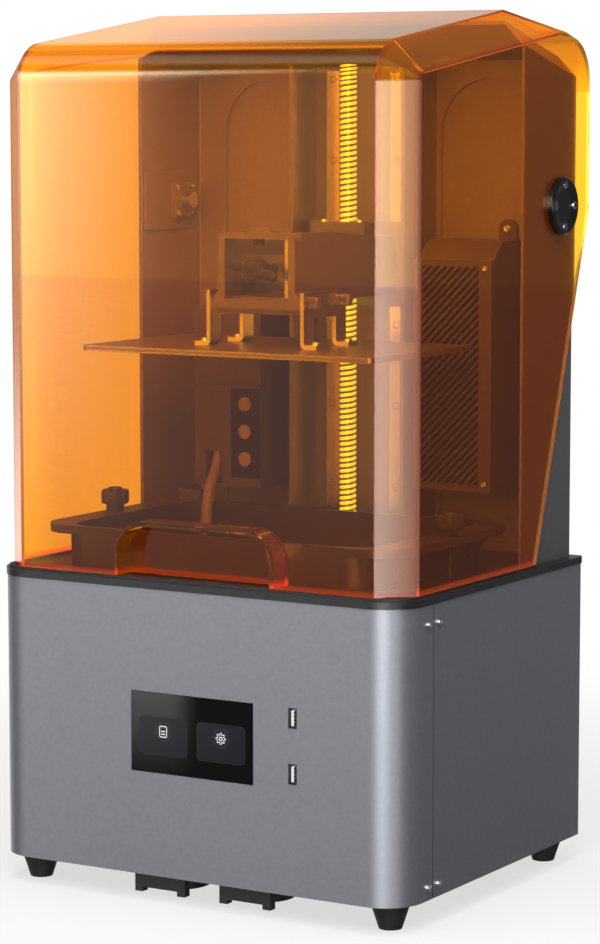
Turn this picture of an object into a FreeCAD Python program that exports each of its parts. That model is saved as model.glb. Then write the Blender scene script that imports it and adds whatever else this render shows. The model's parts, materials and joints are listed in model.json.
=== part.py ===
import FreeCAD, Part
import math
import os
from types import SimpleNamespace

import Sketcher
from FreeCAD import Placement, Rotation, Vector

# Desktop resin printer. Millimetres, +Z up, the front faces -Y, X runs to the right seen from the front.
# The origin is on the floor, under the middle of the whole printer with its lid shut.

# Driving sizes
SIZES = {
    # housing
    "base_depth": 269.0,
    "foot_height": 19.0,
    "shell_height": 201.0,
    "shell_wall": 2.5,
    "front_corner_radius": 28.0,
    "rear_corner_radius": 4.0,
    "seam_from_front": 43.0,
    "seam_gap": 0.4,
    "floor_thickness": 3.0,
    "foot_top_diameter": 28.5,
    "foot_bottom_diameter": 16.0,
    "foot_from_side": 22.5,
    "foot_from_front": 25.5,
    "foot_from_rear": 15.0,
    "deck_thickness": 5.0,
    "deck_lip": 0.8,
    "vent_left": 20.0,
    "vent_length": 60.0,
    "vent_bottom": 130.0,
    "vent_height": 4.0,
    "vent_pitch": 9.0,
    "gasket_height": 1.5,
    "fit_gap": 0.3,
    # front panel
    "screen_width": 99.0,
    "screen_height": 56.0,
    "screen_depth": 9.0,
    "screen_centre_x": 1.5,
    "screen_centre_z": 120.0,
    "usb_width": 6.1,
    "usb_height": 13.6,
    "usb_depth": 14.0,
    "usb_wall": 0.5,
    "usb_x": 82.4,
    "usb_upper_z": 141.0,
    "usb_pitch": 38.3,
    "usb_board_width": 24.0,
    "usb_board_margin": 16.0,
    "usb_pillar": 6.0,
    "usb_pillar_inset": 4.0,
    # exposure unit
    "lcd_margin": 2.0,
    "lamp_wall": 6.0,
    "motor_gap": 4.85,
    "lcd_depth": 140.0,
    "light_height": 62.0,
    "heatsink_width": 130.0,
    "heatsink_depth": 110.0,
    "heatsink_height": 40.0,
    "heatsink_base": 6.0,
    "heatsink_fin": 2.0,
    "heatsink_pitch": 8.0,
    # electronics
    "board_width": 100.0,
    "board_depth": 90.0,
    "board_thickness": 1.6,
    "board_left": 42.0,
    "board_front": -48.0,
    "standoff_size": 7.0,
    "standoff_inset": 6.0,
    "chip_size": 28.0,
    "chip_height": 3.0,
    "coil_size": 20.0,
    "coil_height": 9.0,
    "plug_width": 20.0,
    "plug_length": 62.0,
    "plug_height": 11.0,
    "standoff_height": 6.0,
    "supply_width": 110.0,
    "supply_depth": 55.0,
    "supply_height": 48.0,
    "supply_gap": 8.0,
    "inlet_from_side": 66.5,
    "inlet_z": 58.0,
    "inlet_width": 27.0,
    "inlet_height": 20.0,
    "inlet_depth": 22.0,
    "switch_from_inlet": 38.0,
    "switch_width": 13.0,
    "switch_height": 19.0,
    # cooling fans under the floor
    "fan_x": 35.0,
    "fan_y": -95.0,
    "fan_diameter": 45.0,
    "fan_wall": 2.0,
    "fan_clearance": 5.5,
    "fan_hub_diameter": 16.0,
    "fan_blade_gap": 1.2,
    "fan_post_x": 17.5,
    "fan_post_y": 21.5,
    "fan_post_size": 6.4,
    "fan_post_clearance": 2.2,
    "fan_shaft_diameter": 3.0,
    # tower
    "tower_front": 46.0,
    "tower_back": 128.5,
    "tower_gap": 12.5,
    "tower_wall": 2.5,
    "tower_corner_radius": 4.0,
    "tower_side_height": 366.0,
    "tower_chamfer": 16.0,
    "roof_thickness": 2.5,
    "panel_thickness": 2.5,
    "panel_inset": 22.5,
    "panel_height": 354.0,
    "bay_inset": 43.0,
    "bay_width": 80.0,
    "bay_drop": 9.0,
    # Z axis
    "channel_width": 96.0,
    "channel_front": 78.0,
    "channel_wall": 3.0,
    "channel_back": 11.5,
    "channel_height": 358.0,
    "limit_switch_drop": 5.0,
    "limit_switch_width": 10.0,
    "limit_switch_height": 22.0,
    "limit_switch_depth": 16.0,
    "rail_x": 26.5,
    "rail_width": 10.5,
    "rail_depth": 7.0,
    "rail_bottom": 251.0,
    "rail_top": 578.0,
    "screw_y": 82.0,
    "screw_diameter": 12.6,
    "screw_bottom": 252.0,
    "screw_top": 584.0,
    "journal_diameter": 8.0,
    "shaft_gap": 0.06,
    "motor_size": 42.3,
    "motor_height": 48.0,
    "bearing_width": 40.0,
    "bearing_height": 20.0,
    # carriage and build platform
    "block_height": 40.0,
    "block_width": 24.0,
    "carriage_bottom": 404.0,
    "carriage_height": 62.0,
    "carriage_width": 82.0,
    "carriage_thickness": 6.0,
    "nut_diameter": 22.0,
    "nut_height": 18.0,
    "bracket_width": 44.0,
    "bracket_height": 10.0,
    "bracket_z": 461.0,
    "arm_width": 63.0,
    "arm_cheek": 5.0,
    "arm_web": 3.0,
    "arm_front": -38.0,
    "frame_thickness": 8.0,
    "frame_top": 462.0,
    "frame_bottom": 408.6,
    "frame_corner_radius": 6.0,
    "frame_flare": 6.0,
    "frame_tab_width": 16.0,
    "frame_tab_height": 3.3,
    "window_width": 52.0,
    "window_bottom": 415.0,
    "window_top": 457.5,
    "knob_span": 34.0,
    "knob_hub_diameter": 15.0,
    "knob_z": 436.0,
    "plate_width": 236.0,
    "plate_depth": 140.0,
    "plate_thickness": 4.0,
    "plate_top": 382.0,
    "leg_x": 37.0,
    "leg_thickness": 3.0,
    "leg_width": 14.0,
    "leg_foot": 13.0,
    "leg_pitch": 44.0,
    "leg_top": 421.0,
    "leg_arch_top": 403.0,
    "platform_block_height": 9.0,
    # resin vat
    "vat_front": -108.0,
    "vat_back": 65.5,
    "vat_wall": 4.0,
    "vat_plate_gap": 5.0,
    "vat_rim_overhang": 18.0,
    "vat_rim_thickness": 6.0,
    "vat_height": 30.0,
    "vat_corner_radius": 24.0,
    "film_thickness": 0.6,
    "film_frame_width": 7.0,
    "film_frame_height": 2.0,
    "vat_knob_inset": 7.0,
    "vat_knob_diameter": 22.0,
    "vat_knob_height": 10.0,
    "vat_knob_flute": 2.6,
    "vat_knob_stem": 5.0,
    "vat_stud_diameter": 6.0,
    "gusset_inset": 36.0,
    "lip_height": 8.0,
    "lip_width": 20.0,
    # modules in the tower
    "module_front": 66.0,
    "module_cover": 4.0,
    "module_inset": 11.0,
    "filter_width": 61.0,
    "filter_bottom": 275.0,
    "filter_height": 179.0,
    "filter_slope": 13.0,
    "grille_border": 5.0,
    "grille_slot": 2.4,
    "grille_pitch": 6.0,
    "carbon_depth": 18.0,
    "pump_width": 58.0,
    "pump_bottom": 267.0,
    "pump_height": 135.0,
    "pump_seam": 343.0,
    "button_from_side": 44.7,
    "button_top_z": 329.4,
    "button_pitch": 20.6,
    "button_diameter": 10.6,
    "button_depth": 5.0,
    "button_travel": 1.2,
    "slot_from_side": 16.7,
    "slot_width": 13.6,
    "slot_height": 26.0,
    "outlet_height": 41.0,
    "slot_depth": 14.0,
    "hose_diameter": 8.5,
    "hose_bore": 6.0,
    "collar_wall": 0.5,
    # lid and its hinge
    "lid_wall": 3.0,
    "lid_gap": 5.0,
    "lid_inset": 1.5,
    "lid_front": -131.0,
    "lid_bottom": 227.0,
    "lid_front_top": 589.7,
    "lid_front_radius": 25.0,
    "lid_ridge_y": 48.0,
    "lid_ridge_z": 616.0,
    "lid_rear": 141.0,
    "lid_rear_top": 591.0,
    "lid_rear_radius": 30.0,
    "lid_lip_bottom": 560.0,
    "lid_notch_z": 474.0,
    "lid_foot_back": 61.5,
    "lid_chamfer": 22.0,
    "grip_width": 124.0,
    "grip_height": 35.0,
    "grip_depth": 18.0,
    "grip_radius": 20.0,
    "hinge_y": 96.0,
    "hinge_z": 479.5,
    "hinge_pin_diameter": 12.0,
    "hinge_cap_diameter": 41.0,
    "hinge_cap_thickness": 4.5,
    "hinge_cap_dish": 1.6,
    "hinge_plate_height": 43.0,
    "hinge_plate_thickness": 2.0,
    "hinge_flange": 26.0,
    "hinge_flange_thickness": 4.0,
}

VENT_ROWS = 7
FAN_BLADES = 7
KNOB_LOBES = 6

# Hose centre line: straight runs from the outlet down into the vat, as (Y from the base's middle, Z).
HOSE_ROUTE = [(75.0, 305.0), (75.0, 285.0), (55.8, 261.0), (55.8, 237.0)]

doc = FreeCAD.newDocument("resin_printer")
sheet = doc.addObject("Spreadsheet::Sheet", "sizes")
for row, (alias, number) in enumerate(SIZES.items(), start=1):
    sheet.set(f"A{row}", alias)
    sheet.set(f"B{row}", str(number))
    sheet.setAlias(f"B{row}", alias)
doc.recompute()

NODES = {}


class Size:
    """A length that carries its value and the sheet expression that gives it."""

    def __init__(self, value, text):
        self.value = value
        self.text = text

    def __float__(self):
        return float(self.value)

    def __add__(self, other):
        other = as_size(other)
        return Size(self.value + other.value, f"({self.text} + {other.text})")

    def __radd__(self, other):
        return as_size(other) + self

    def __sub__(self, other):
        other = as_size(other)
        return Size(self.value - other.value, f"({self.text} - {other.text})")

    def __rsub__(self, other):
        return as_size(other) - self

    def __mul__(self, other):
        other = as_size(other)
        return Size(self.value * other.value, f"({self.text} * {other.text})")

    def __rmul__(self, other):
        return as_size(other) * self

    def __truediv__(self, other):
        other = as_size(other)
        return Size(self.value / other.value, f"({self.text} / {other.text})")

    def __neg__(self):
        return Size(-self.value, f"(-1 * {self.text})")


def as_size(number):
    """Turn a plain number into a Size, and leave a Size as it is."""
    if isinstance(number, Size):
        return number
    return Size(float(number), f"{float(number):.6f}")


s = SimpleNamespace(**{alias: Size(float(sheet.get(alias)), f"sizes.{alias}") for alias in SIZES})

# Levels and lines that several pieces share
plate_half = s.plate_width / 2
lcd_half = plate_half + s.lcd_margin
vat_half = plate_half + s.vat_plate_gap + s.vat_wall
rim_half = vat_half + s.vat_rim_overhang
vat_knob_x = rim_half - s.vat_knob_inset
tower_inner = rim_half + s.tower_gap
tower_half = tower_inner + s.tower_wall
lid_half = tower_half + s.lid_gap
half_width = lid_half + s.lid_inset
panel_half = tower_inner - s.panel_inset
exposure_y = s.screw_y - s.motor_size / 2 - s.motor_gap - s.lamp_wall - s.lcd_depth / 2
bay_x = panel_half - s.bay_inset
module_edge = panel_half - s.module_inset
slot_x = s.slot_from_side - module_edge
button_x = s.button_from_side - module_edge
inlet_x = s.inlet_from_side - half_width
switch_x = inlet_x + s.switch_from_inlet
middle_y = (s.base_depth / 2 + s.deck_lip - s.lid_rear) / 2


def along(distance):
    """Y of a place given from the middle of the base."""
    return middle_y + distance


front_y = along(-s.base_depth / 2)
rear_y = along(s.base_depth / 2)
seam_y = front_y + s.seam_from_front
floor_top = s.foot_height + s.floor_thickness
shell_top = s.foot_height + s.shell_height
deck_top = shell_top + s.deck_thickness
vat_bottom = deck_top + s.fit_gap
vat_top = vat_bottom + s.vat_height
wall_face = along(s.tower_back - s.tower_wall)
panel_front = wall_face - s.panel_thickness
channel_face = panel_front - s.channel_back
screw_y = along(s.screw_y)
hinge_y = along(s.hinge_y)


def bind(item, **sizes):
    """Tie properties of a document object to the sheet; __ stands for a dot."""
    for name, size in sizes.items():
        item.setExpression(name.replace("__", "."), as_size(size).text)


TURNS = {
    "z": Rotation(),
    "x": Rotation(Vector(0, 1, 0), 90),
    "y": Rotation(Vector(1, 0, 0), -90),
    "-y": Rotation(Vector(1, 0, 0), 90),
    "-x": Rotation(Vector(0, 1, 0), -90),
    "-z": Rotation(Vector(1, 0, 0), 180),
}


def place(item, at, turn="z"):
    """Put an object at a point, with its own Z turned along an axis."""
    item.Placement = Placement(Vector(), TURNS[turn] if isinstance(turn, str) else turn)
    bind(item, Placement__Base__x=at[0], Placement__Base__y=at[1], Placement__Base__z=at[2])
    return item


def box(low, high):
    """Box between two corners."""
    item = doc.addObject("Part::Box", "box")
    bind(item, Length=high[0] - low[0], Width=high[1] - low[1], Height=high[2] - low[2])
    return place(item, low)


def rod(diameter, length, at, turn="z"):
    """Round bar from a point along an axis."""
    item = doc.addObject("Part::Cylinder", "rod")
    bind(item, Radius=as_size(diameter) / 2, Height=length)
    return place(item, at, turn)


def taper(bottom, top, length, at, turn="z"):
    """Tapered round bar between two diameters."""
    item = doc.addObject("Part::Cone", "taper")
    bind(item, Radius1=as_size(bottom) / 2, Radius2=as_size(top) / 2, Height=length)
    return place(item, at, turn)


def fuse(*items):
    """One solid of several that touch."""
    item = doc.addObject("Part::MultiFuse", "fuse")
    item.Shapes = list(items)
    item.Refine = True
    return item


def cut(base, *tools):
    """A solid with others taken out of it."""
    item = doc.addObject("Part::Cut", "cut")
    item.Base = base
    item.Tool = tools[0] if len(tools) == 1 else fuse(*tools)
    return item


def common(*items):
    """What several solids share."""
    item = doc.addObject("Part::MultiCommon", "common")
    item.Shapes = list(items)
    return item


def group(items):
    """Separate like solids kept as one node."""
    item = doc.addObject("Part::Compound", "group")
    item.Links = list(items)
    return item


def plain(shape):
    """A shape worked out from the sheet's values."""
    item = doc.addObject("Part::Feature", "form")
    item.Shape = shape
    return item


def node(label, item):
    """Name a finished sub-part."""
    item.Label = label
    NODES[label] = item
    return item


PLANE_ROLES = {"XY": "XY_Plane", "XZ": "XZ_Plane", "YZ": "YZ_Plane"}


def new_sketch(body, plane, offset):
    """Sketch on one of the body's own planes, moved along that plane's normal."""
    sketch = body.newObject("Sketcher::SketchObject", "sketch")
    origin_planes = body.Origin.OriginFeatures
    sketch.AttachmentSupport = [(p, "") for p in origin_planes if p.Role == PLANE_ROLES[plane]]
    sketch.MapMode = "FlatFace"
    bind(sketch, AttachmentOffset__Base__z=offset)
    return sketch


def draw_loop(sketch, points):
    """Closed polygon whose corners are held by sizes from the sketch's origin."""
    first = sketch.GeometryCount
    flat = [Vector(float(u), float(v), 0) for u, v in points]
    for start, end in zip(flat, flat[1:] + flat[:1]):
        sketch.addGeometry(Part.LineSegment(start, end), False)
    for index in range(len(points)):
        after = first + (index + 1) % len(points)
        sketch.addConstraint(Sketcher.Constraint("Coincident", first + index, 2, after, 1))
    for index, corner in enumerate(points):
        for kind, size in zip(("DistanceX", "DistanceY"), corner):
            rule = Sketcher.Constraint(kind, -1, 1, first + index, 1, float(size))
            number = sketch.addConstraint(rule)
            sketch.setExpression(f"Constraints[{number}]", as_size(size).text)


def draw_circle(sketch, centre, diameter):
    """Circle held by its centre and radius."""
    radius = as_size(diameter) / 2
    middle = Vector(float(centre[0]), float(centre[1]), 0)
    ring = sketch.addGeometry(Part.Circle(middle, Vector(0, 0, 1), float(radius)), False)
    rules = (
        (Sketcher.Constraint("Radius", ring, float(radius)), radius),
        (Sketcher.Constraint("DistanceX", -1, 1, ring, 3, middle.x), centre[0]),
        (Sketcher.Constraint("DistanceY", -1, 1, ring, 3, middle.y), centre[1]),
    )
    for rule, size in rules:
        number = sketch.addConstraint(rule)
        sketch.setExpression(f"Constraints[{number}]", as_size(size).text)


def edges_at(shape, plane, corner):
    """Names of the straight edges that run along the plane's normal through a corner."""
    u_axis, v_axis = {"XY": "xy", "XZ": "xz", "YZ": "yz"}[plane]
    found = []
    for number, edge in enumerate(shape.Edges, start=1):
        ends = [v.Point for v in edge.Vertexes]
        if len(ends) == 2 and all(
            abs(getattr(p, u_axis) - float(corner[0])) < 1e-4 and abs(getattr(p, v_axis) - float(corner[1])) < 1e-4
            for p in ends
        ):
            found.append(f"Edge{number}")
    return found


def prism(plane, outline, start, length, holes=(), rounds=(), circles=()):
    """Padded profile: outline and holes are polygons, rounds are (radius, corners) pairs.

    The pad runs from start towards +Z on XY, towards -Y on XZ and towards +X on YZ.
    """
    body = doc.addObject("PartDesign::Body", "body")
    sketch = new_sketch(body, plane, start)
    for loop in (outline, *holes):
        draw_loop(sketch, loop)
    for centre, diameter in circles:
        draw_circle(sketch, centre, diameter)
    pad = body.newObject("PartDesign::Pad", "pad")
    pad.Profile = sketch
    bind(pad, Length=length)
    body.Tip = pad
    doc.recompute()
    for radius, corners in rounds:
        last = body.Tip
        names = [name for corner in corners for name in edges_at(last.Shape, plane, corner)]
        fillet = body.newObject("PartDesign::Fillet", "round")
        fillet.Base = (last, names)
        fillet.Radius = float(radius)
        bind(fillet, Radius=radius)
        body.Tip = fillet
        doc.recompute()
    return body


def turned(profile, at, turn="z"):
    """Profile of (radius, height) corners turned about its own Z."""
    body = doc.addObject("PartDesign::Body", "body")
    sketch = new_sketch(body, "XZ", 0)
    draw_loop(sketch, profile)
    turning = body.newObject("PartDesign::Revolution", "turning")
    turning.Profile = sketch
    turning.ReferenceAxis = (sketch, ["V_Axis"])
    turning.Angle = 360
    body.Tip = turning
    return place(body, at, turn)


def rectangle(left, bottom, right, top):
    """Four corners of a rectangle, anticlockwise."""
    return [(left, bottom), (right, bottom), (right, top), (left, top)]


def rounded_plate(left, front, right, back, bottom, top, radius, **more):
    """Flat plate with the same radius on its four upright corners."""
    corners = rectangle(left, front, right, back)
    return prism("XY", corners, bottom, top - bottom, rounds=[(radius, corners)], **more)


# Housing


def build_housing():
    """Front and rear shells, floor, feet, deck and the seal that the lid shuts on."""
    t = s.shell_wall
    outer = [(-half_width, front_y), (half_width, front_y)]
    inner = [(half_width - t, front_y + t), (-half_width + t, front_y + t)]
    front_outline = [
        (-half_width, seam_y), *outer, (half_width, seam_y),
        (half_width - t, seam_y), *inner, (-half_width + t, seam_y),
    ]
    shell = prism(
        "XY", front_outline, s.foot_height, s.shell_height,
        rounds=[(s.front_corner_radius, outer), (s.front_corner_radius - t, inner)],
    )
    screen_x = s.screen_width / 2 + s.fit_gap
    screen_z = s.screen_height / 2 + s.fit_gap
    screen_hole = box(
        (s.screen_centre_x - screen_x, front_y - t, s.screen_centre_z - screen_z),
        (s.screen_centre_x + screen_x, front_y + 2 * t, s.screen_centre_z + screen_z),
    )
    port_holes = [
        box(
            (s.usb_x - s.usb_width / 2 - s.fit_gap, front_y - t, z - s.usb_height / 2 - s.fit_gap),
            (s.usb_x + s.usb_width / 2 + s.fit_gap, front_y + 2 * t, z + s.usb_height / 2 + s.fit_gap),
        )
        for z in (s.usb_upper_z, s.usb_upper_z - s.usb_pitch)
    ]
    node("base_front_shell", cut(shell, screen_hole, *port_holes))

    start_y = seam_y + s.seam_gap
    outer = [(half_width, rear_y), (-half_width, rear_y)]
    inner = [(-half_width + t, rear_y - t), (half_width - t, rear_y - t)]
    rear_outline = [
        (half_width, start_y), *outer, (-half_width, start_y),
        (-half_width + t, start_y), *inner, (half_width - t, start_y),
    ]
    shell = prism(
        "XY", rear_outline, s.foot_height, s.shell_height,
        rounds=[(s.rear_corner_radius, outer), (s.rear_corner_radius - t, inner)],
    )
    inlet_hole = box(
        (inlet_x - s.inlet_width / 2 - s.fit_gap, rear_y - 2 * t, s.inlet_z - s.inlet_height / 2 - s.fit_gap),
        (inlet_x + s.inlet_width / 2 + s.fit_gap, rear_y + t, s.inlet_z + s.inlet_height / 2 + s.fit_gap),
    )
    switch_hole = box(
        (switch_x - s.switch_width / 2 - s.fit_gap, rear_y - 2 * t, s.inlet_z - s.switch_height / 2 - s.fit_gap),
        (switch_x + s.switch_width / 2 + s.fit_gap, rear_y + t, s.inlet_z + s.switch_height / 2 + s.fit_gap),
    )
    vent_slots = []
    for row in range(VENT_ROWS):
        low = s.vent_bottom + row * s.vent_pitch
        vent_slots.append(box(
            (s.vent_left, rear_y - 2 * t, low), (s.vent_left + s.vent_length, rear_y + t, low + s.vent_height)
        ))
    node("base_rear_shell", cut(shell, inlet_hole, switch_hole, *vent_slots))

    edge_x = half_width - t - s.fit_gap
    floor_front = [(-edge_x, front_y + t + s.fit_gap), (edge_x, front_y + t + s.fit_gap)]
    floor_back = [(edge_x, rear_y - t - s.fit_gap), (-edge_x, rear_y - t - s.fit_gap)]
    ducts = [((side * s.fan_x, along(s.fan_y)), s.fan_diameter - 2 * s.fan_wall) for side in (-1, 1)]
    node("base_floor", prism(
        "XY", floor_front + floor_back, s.foot_height, s.floor_thickness,
        rounds=[(s.front_corner_radius - t - s.fit_gap, floor_front), (s.rear_corner_radius, floor_back)],
        circles=ducts,
    ))

    foot_x = half_width - s.foot_from_side
    node("feet", group([
        taper(s.foot_bottom_diameter, s.foot_top_diameter, s.foot_height, (side * foot_x, y, 0))
        for side in (-1, 1) for y in (front_y + s.foot_from_front, rear_y - s.foot_from_rear)
    ]))

    lip_x = half_width + s.deck_lip
    deck_front = [(-lip_x, front_y - s.deck_lip), (lip_x, front_y - s.deck_lip)]
    deck_back = [(lip_x, rear_y + s.deck_lip), (-lip_x, rear_y + s.deck_lip)]
    window_x = lcd_half + s.fit_gap
    window_y = s.lcd_depth / 2 + s.fit_gap
    window = rectangle(-window_x, along(exposure_y) - window_y, window_x, along(exposure_y) + window_y)
    node("deck_plate", prism(
        "XY", deck_front + deck_back, shell_top, s.deck_thickness, holes=[window],
        rounds=[
            (s.front_corner_radius + s.deck_lip, deck_front),
            (s.rear_corner_radius + s.deck_lip, deck_back),
        ],
        circles=[
            ((0, screw_y), s.journal_diameter + 2),
            *[((side * vat_knob_x, along(exposure_y)), s.vat_stud_diameter + 2 * s.shaft_gap) for side in (-1, 1)],
        ],
    ))

    seal_x = lid_half - s.fit_gap
    seal_front = along(s.lid_front) + s.fit_gap
    seal_back = along(s.lid_foot_back)
    w = lid_half - tower_half - 2 * s.fit_gap
    outer = [(-seal_x, seal_front), (seal_x, seal_front)]
    inner = [(seal_x - w, seal_front + w), (-seal_x + w, seal_front + w)]
    node("deck_gasket", prism(
        "XY",
        [(-seal_x, seal_back), *outer, (seal_x, seal_back), (seal_x - w, seal_back), *inner, (-seal_x + w, seal_back)],
        deck_top, s.gasket_height,
        rounds=[(s.lid_chamfer, outer), (s.lid_chamfer - w, inner)],
    ))


# Front panel and electronics


def usb_port(centre_z):
    """Upright socket: a thin metal tube with a tongue inside and a closed back."""
    y0 = front_y
    y1 = front_y + s.usb_depth
    x0 = s.usb_x - s.usb_width / 2
    x1 = s.usb_x + s.usb_width / 2
    z0 = centre_z - s.usb_height / 2
    z1 = centre_z + s.usb_height / 2
    w = s.usb_wall
    tube = cut(box((x0, y0, z0), (x1, y1, z1)), box((x0 + w, y0 - 1, z0 + w), (x1 - w, y1 - 2, z1 - w)))
    tongue = box((x1 - 3 * w - 1, y0 + 1.5, z0 + 3 * w), (x1 - 2 * w, y1 - 1, z1 - 3 * w))
    return fuse(tube, tongue)


def build_front_panel():
    """Touch screen, the two sockets and the small board behind them."""
    half_x = s.screen_width / 2
    half_z = s.screen_height / 2
    corners = rectangle(
        s.screen_centre_x - half_x, s.screen_centre_z - half_z,
        s.screen_centre_x + half_x, s.screen_centre_z + half_z,
    )
    glass = prism("XZ", corners, -(front_y + s.shell_wall), s.shell_wall, rounds=[(1.5, corners)])
    flange = s.shell_wall * 2
    back = box(
        (corners[0][0] - flange, front_y + s.shell_wall, corners[0][1] - flange),
        (corners[2][0] + flange, front_y + s.screen_depth, corners[2][1] + flange),
    )
    node("touch_screen", fuse(glass, back))
    lower_z = s.usb_upper_z - s.usb_pitch
    node("usb_ports", group([usb_port(s.usb_upper_z), usb_port(lower_z)]))
    board_back = front_y + s.usb_depth
    half_x = s.usb_board_width / 2
    low = lower_z - s.usb_board_margin
    high = s.usb_upper_z + s.usb_board_margin
    board = box((s.usb_x - half_x, board_back, low), (s.usb_x + half_x, board_back + s.board_thickness, high))
    half_pillar = s.usb_pillar / 2
    pillar_x = half_x - s.usb_pillar_inset
    pillars = [
        box(
            (s.usb_x + side * pillar_x - half_pillar, front_y + s.shell_wall, z - half_pillar),
            (s.usb_x + side * pillar_x + half_pillar, board_back, z + half_pillar),
        )
        for side in (-1, 1) for z in (low + s.usb_pillar_inset, high - s.usb_pillar_inset)
    ]
    node("usb_board", fuse(board, *pillars))


def build_electronics():
    """Exposure panel, lamp box, heat sink, boards, supply, inlet and rocker switch."""
    middle = along(exposure_y)
    lcd_x = lcd_half
    lcd_y = s.lcd_depth / 2
    node("lcd_panel", box(
        (-lcd_x, middle - lcd_y, shell_top), (lcd_x, middle + lcd_y, shell_top + s.deck_thickness)
    ))
    lamp_low = shell_top - s.light_height
    lamp_x = lcd_x + s.lamp_wall
    lamp_y = lcd_y + s.lamp_wall
    node("light_source", cut(
        box((-lamp_x, middle - lamp_y, lamp_low), (lamp_x, middle + lamp_y, shell_top)),
        box((-lcd_x + 4, middle - lcd_y + 4, lamp_low + 5), (lcd_x - 4, middle + lcd_y - 4, shell_top + 1)),
    ))
    sink_x = s.heatsink_width / 2
    sink_y = s.heatsink_depth / 2
    sink_low = lamp_low - s.heatsink_height
    plate_low = lamp_low - s.heatsink_base
    sink = box((-sink_x, middle - sink_y, plate_low), (sink_x, middle + sink_y, lamp_low))
    fin_count = int(float(s.heatsink_width) // float(s.heatsink_pitch))
    fins = [
        box(
            (-sink_x + number * s.heatsink_pitch, middle - sink_y, sink_low),
            (-sink_x + number * s.heatsink_pitch + s.heatsink_fin, middle + sink_y, plate_low),
        )
        for number in range(fin_count)
    ]
    node("led_heatsink", fuse(sink, *fins))

    board_x = s.board_left
    board_y = along(s.board_front)
    board_z = floor_top + s.standoff_height
    board = box(
        (board_x, board_y, board_z),
        (board_x + s.board_width, board_y + s.board_depth, board_z + s.board_thickness),
    )
    half_post = s.standoff_size / 2
    posts = [
        box(
            (board_x + dx - half_post, board_y + dy - half_post, floor_top),
            (board_x + dx + half_post, board_y + dy + half_post, board_z),
        )
        for dx in (s.standoff_inset, s.board_width - s.standoff_inset)
        for dy in (s.standoff_inset, s.board_depth - s.standoff_inset)
    ]
    board_top = board_z + s.board_thickness
    on_board = [
        (35, 30, s.chip_size, s.chip_size, s.chip_height),
        (10, 62, s.coil_size, s.coil_size, s.coil_height),
        (72, 14, s.plug_width, s.plug_length, s.plug_height),
    ]
    chips = [
        box((board_x + dx, board_y + dy, board_top), (board_x + dx + w, board_y + dy + d, board_top + h))
        for dx, dy, w, d, h in on_board
    ]
    node("mainboard", fuse(board, *posts, *chips))
    supply_x = -half_width + s.shell_wall + s.supply_gap
    supply_y = along(-s.supply_depth / 2)
    node("power_supply", box(
        (supply_x, supply_y, floor_top),
        (supply_x + s.supply_width, supply_y + s.supply_depth, floor_top + s.supply_height),
    ))

    inlet_low = (inlet_x - s.inlet_width / 2, rear_y - s.inlet_depth, s.inlet_z - s.inlet_height / 2)
    inlet_high = (inlet_x + s.inlet_width / 2, rear_y + 1.5, s.inlet_z + s.inlet_height / 2)
    flange = box(
        (inlet_low[0] - 4, rear_y, inlet_low[2] - 4), (inlet_high[0] + 4, rear_y + 1.5, inlet_high[2] + 4)
    )
    socket = box(
        (inlet_low[0] + 1.5, rear_y - s.inlet_depth + 4, inlet_low[2] + 2),
        (inlet_high[0] - 1.5, rear_y + 3, inlet_high[2] - 2),
    )
    blades = [
        box(
            (inlet_x + dx - 1, rear_y - s.inlet_depth + 3, s.inlet_z + dz - 2),
            (inlet_x + dx + 1, rear_y - 4, s.inlet_z + dz + 2),
        )
        for dx, dz in ((-7, -2), (0, 2), (7, -2))
    ]
    node("power_inlet", fuse(cut(fuse(box(inlet_low, inlet_high), flange), socket), *blades))

    switch_low = (switch_x - s.switch_width / 2, rear_y - 14, s.inlet_z - s.switch_height / 2)
    switch_high = (switch_x + s.switch_width / 2, rear_y, s.inlet_z + s.switch_height / 2)
    bezel = box((switch_low[0] - 2, rear_y, switch_low[2] - 2), (switch_high[0] + 2, rear_y + 1.5, switch_high[2] + 2))
    well = box(
        (switch_low[0] + 1.5, rear_y - 10, switch_low[2] + 1.5), (switch_high[0] - 1.5, rear_y + 3, switch_high[2] - 1.5)
    )
    pivot = rod(2.4, s.switch_width, (switch_low[0], rear_y - 3, s.inlet_z), "x")
    node("switch_frame", fuse(cut(fuse(box(switch_low, switch_high), bezel), well), pivot))
    reach = s.switch_height / 2 - 1.5 - s.fit_gap
    rocker_outline = [
        (rear_y - 5, s.inlet_z - reach + 1), (rear_y - 0.5, s.inlet_z - reach + 0.6), (rear_y + 0.6, s.inlet_z),
        (rear_y - 0.5, s.inlet_z + reach - 0.6), (rear_y - 5, s.inlet_z + reach - 1),
    ]
    rocker_x = s.switch_width / 2 - 1.5 - s.fit_gap
    rocker = prism("YZ", rocker_outline, switch_x - rocker_x, 2 * rocker_x)
    pivot_hole = rod(2.4 + 2 * s.shaft_gap, s.switch_width, (switch_low[0], rear_y - 3, s.inlet_z), "x")
    node("power_switch", cut(rocker, pivot_hole))


# Cooling fans


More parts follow.
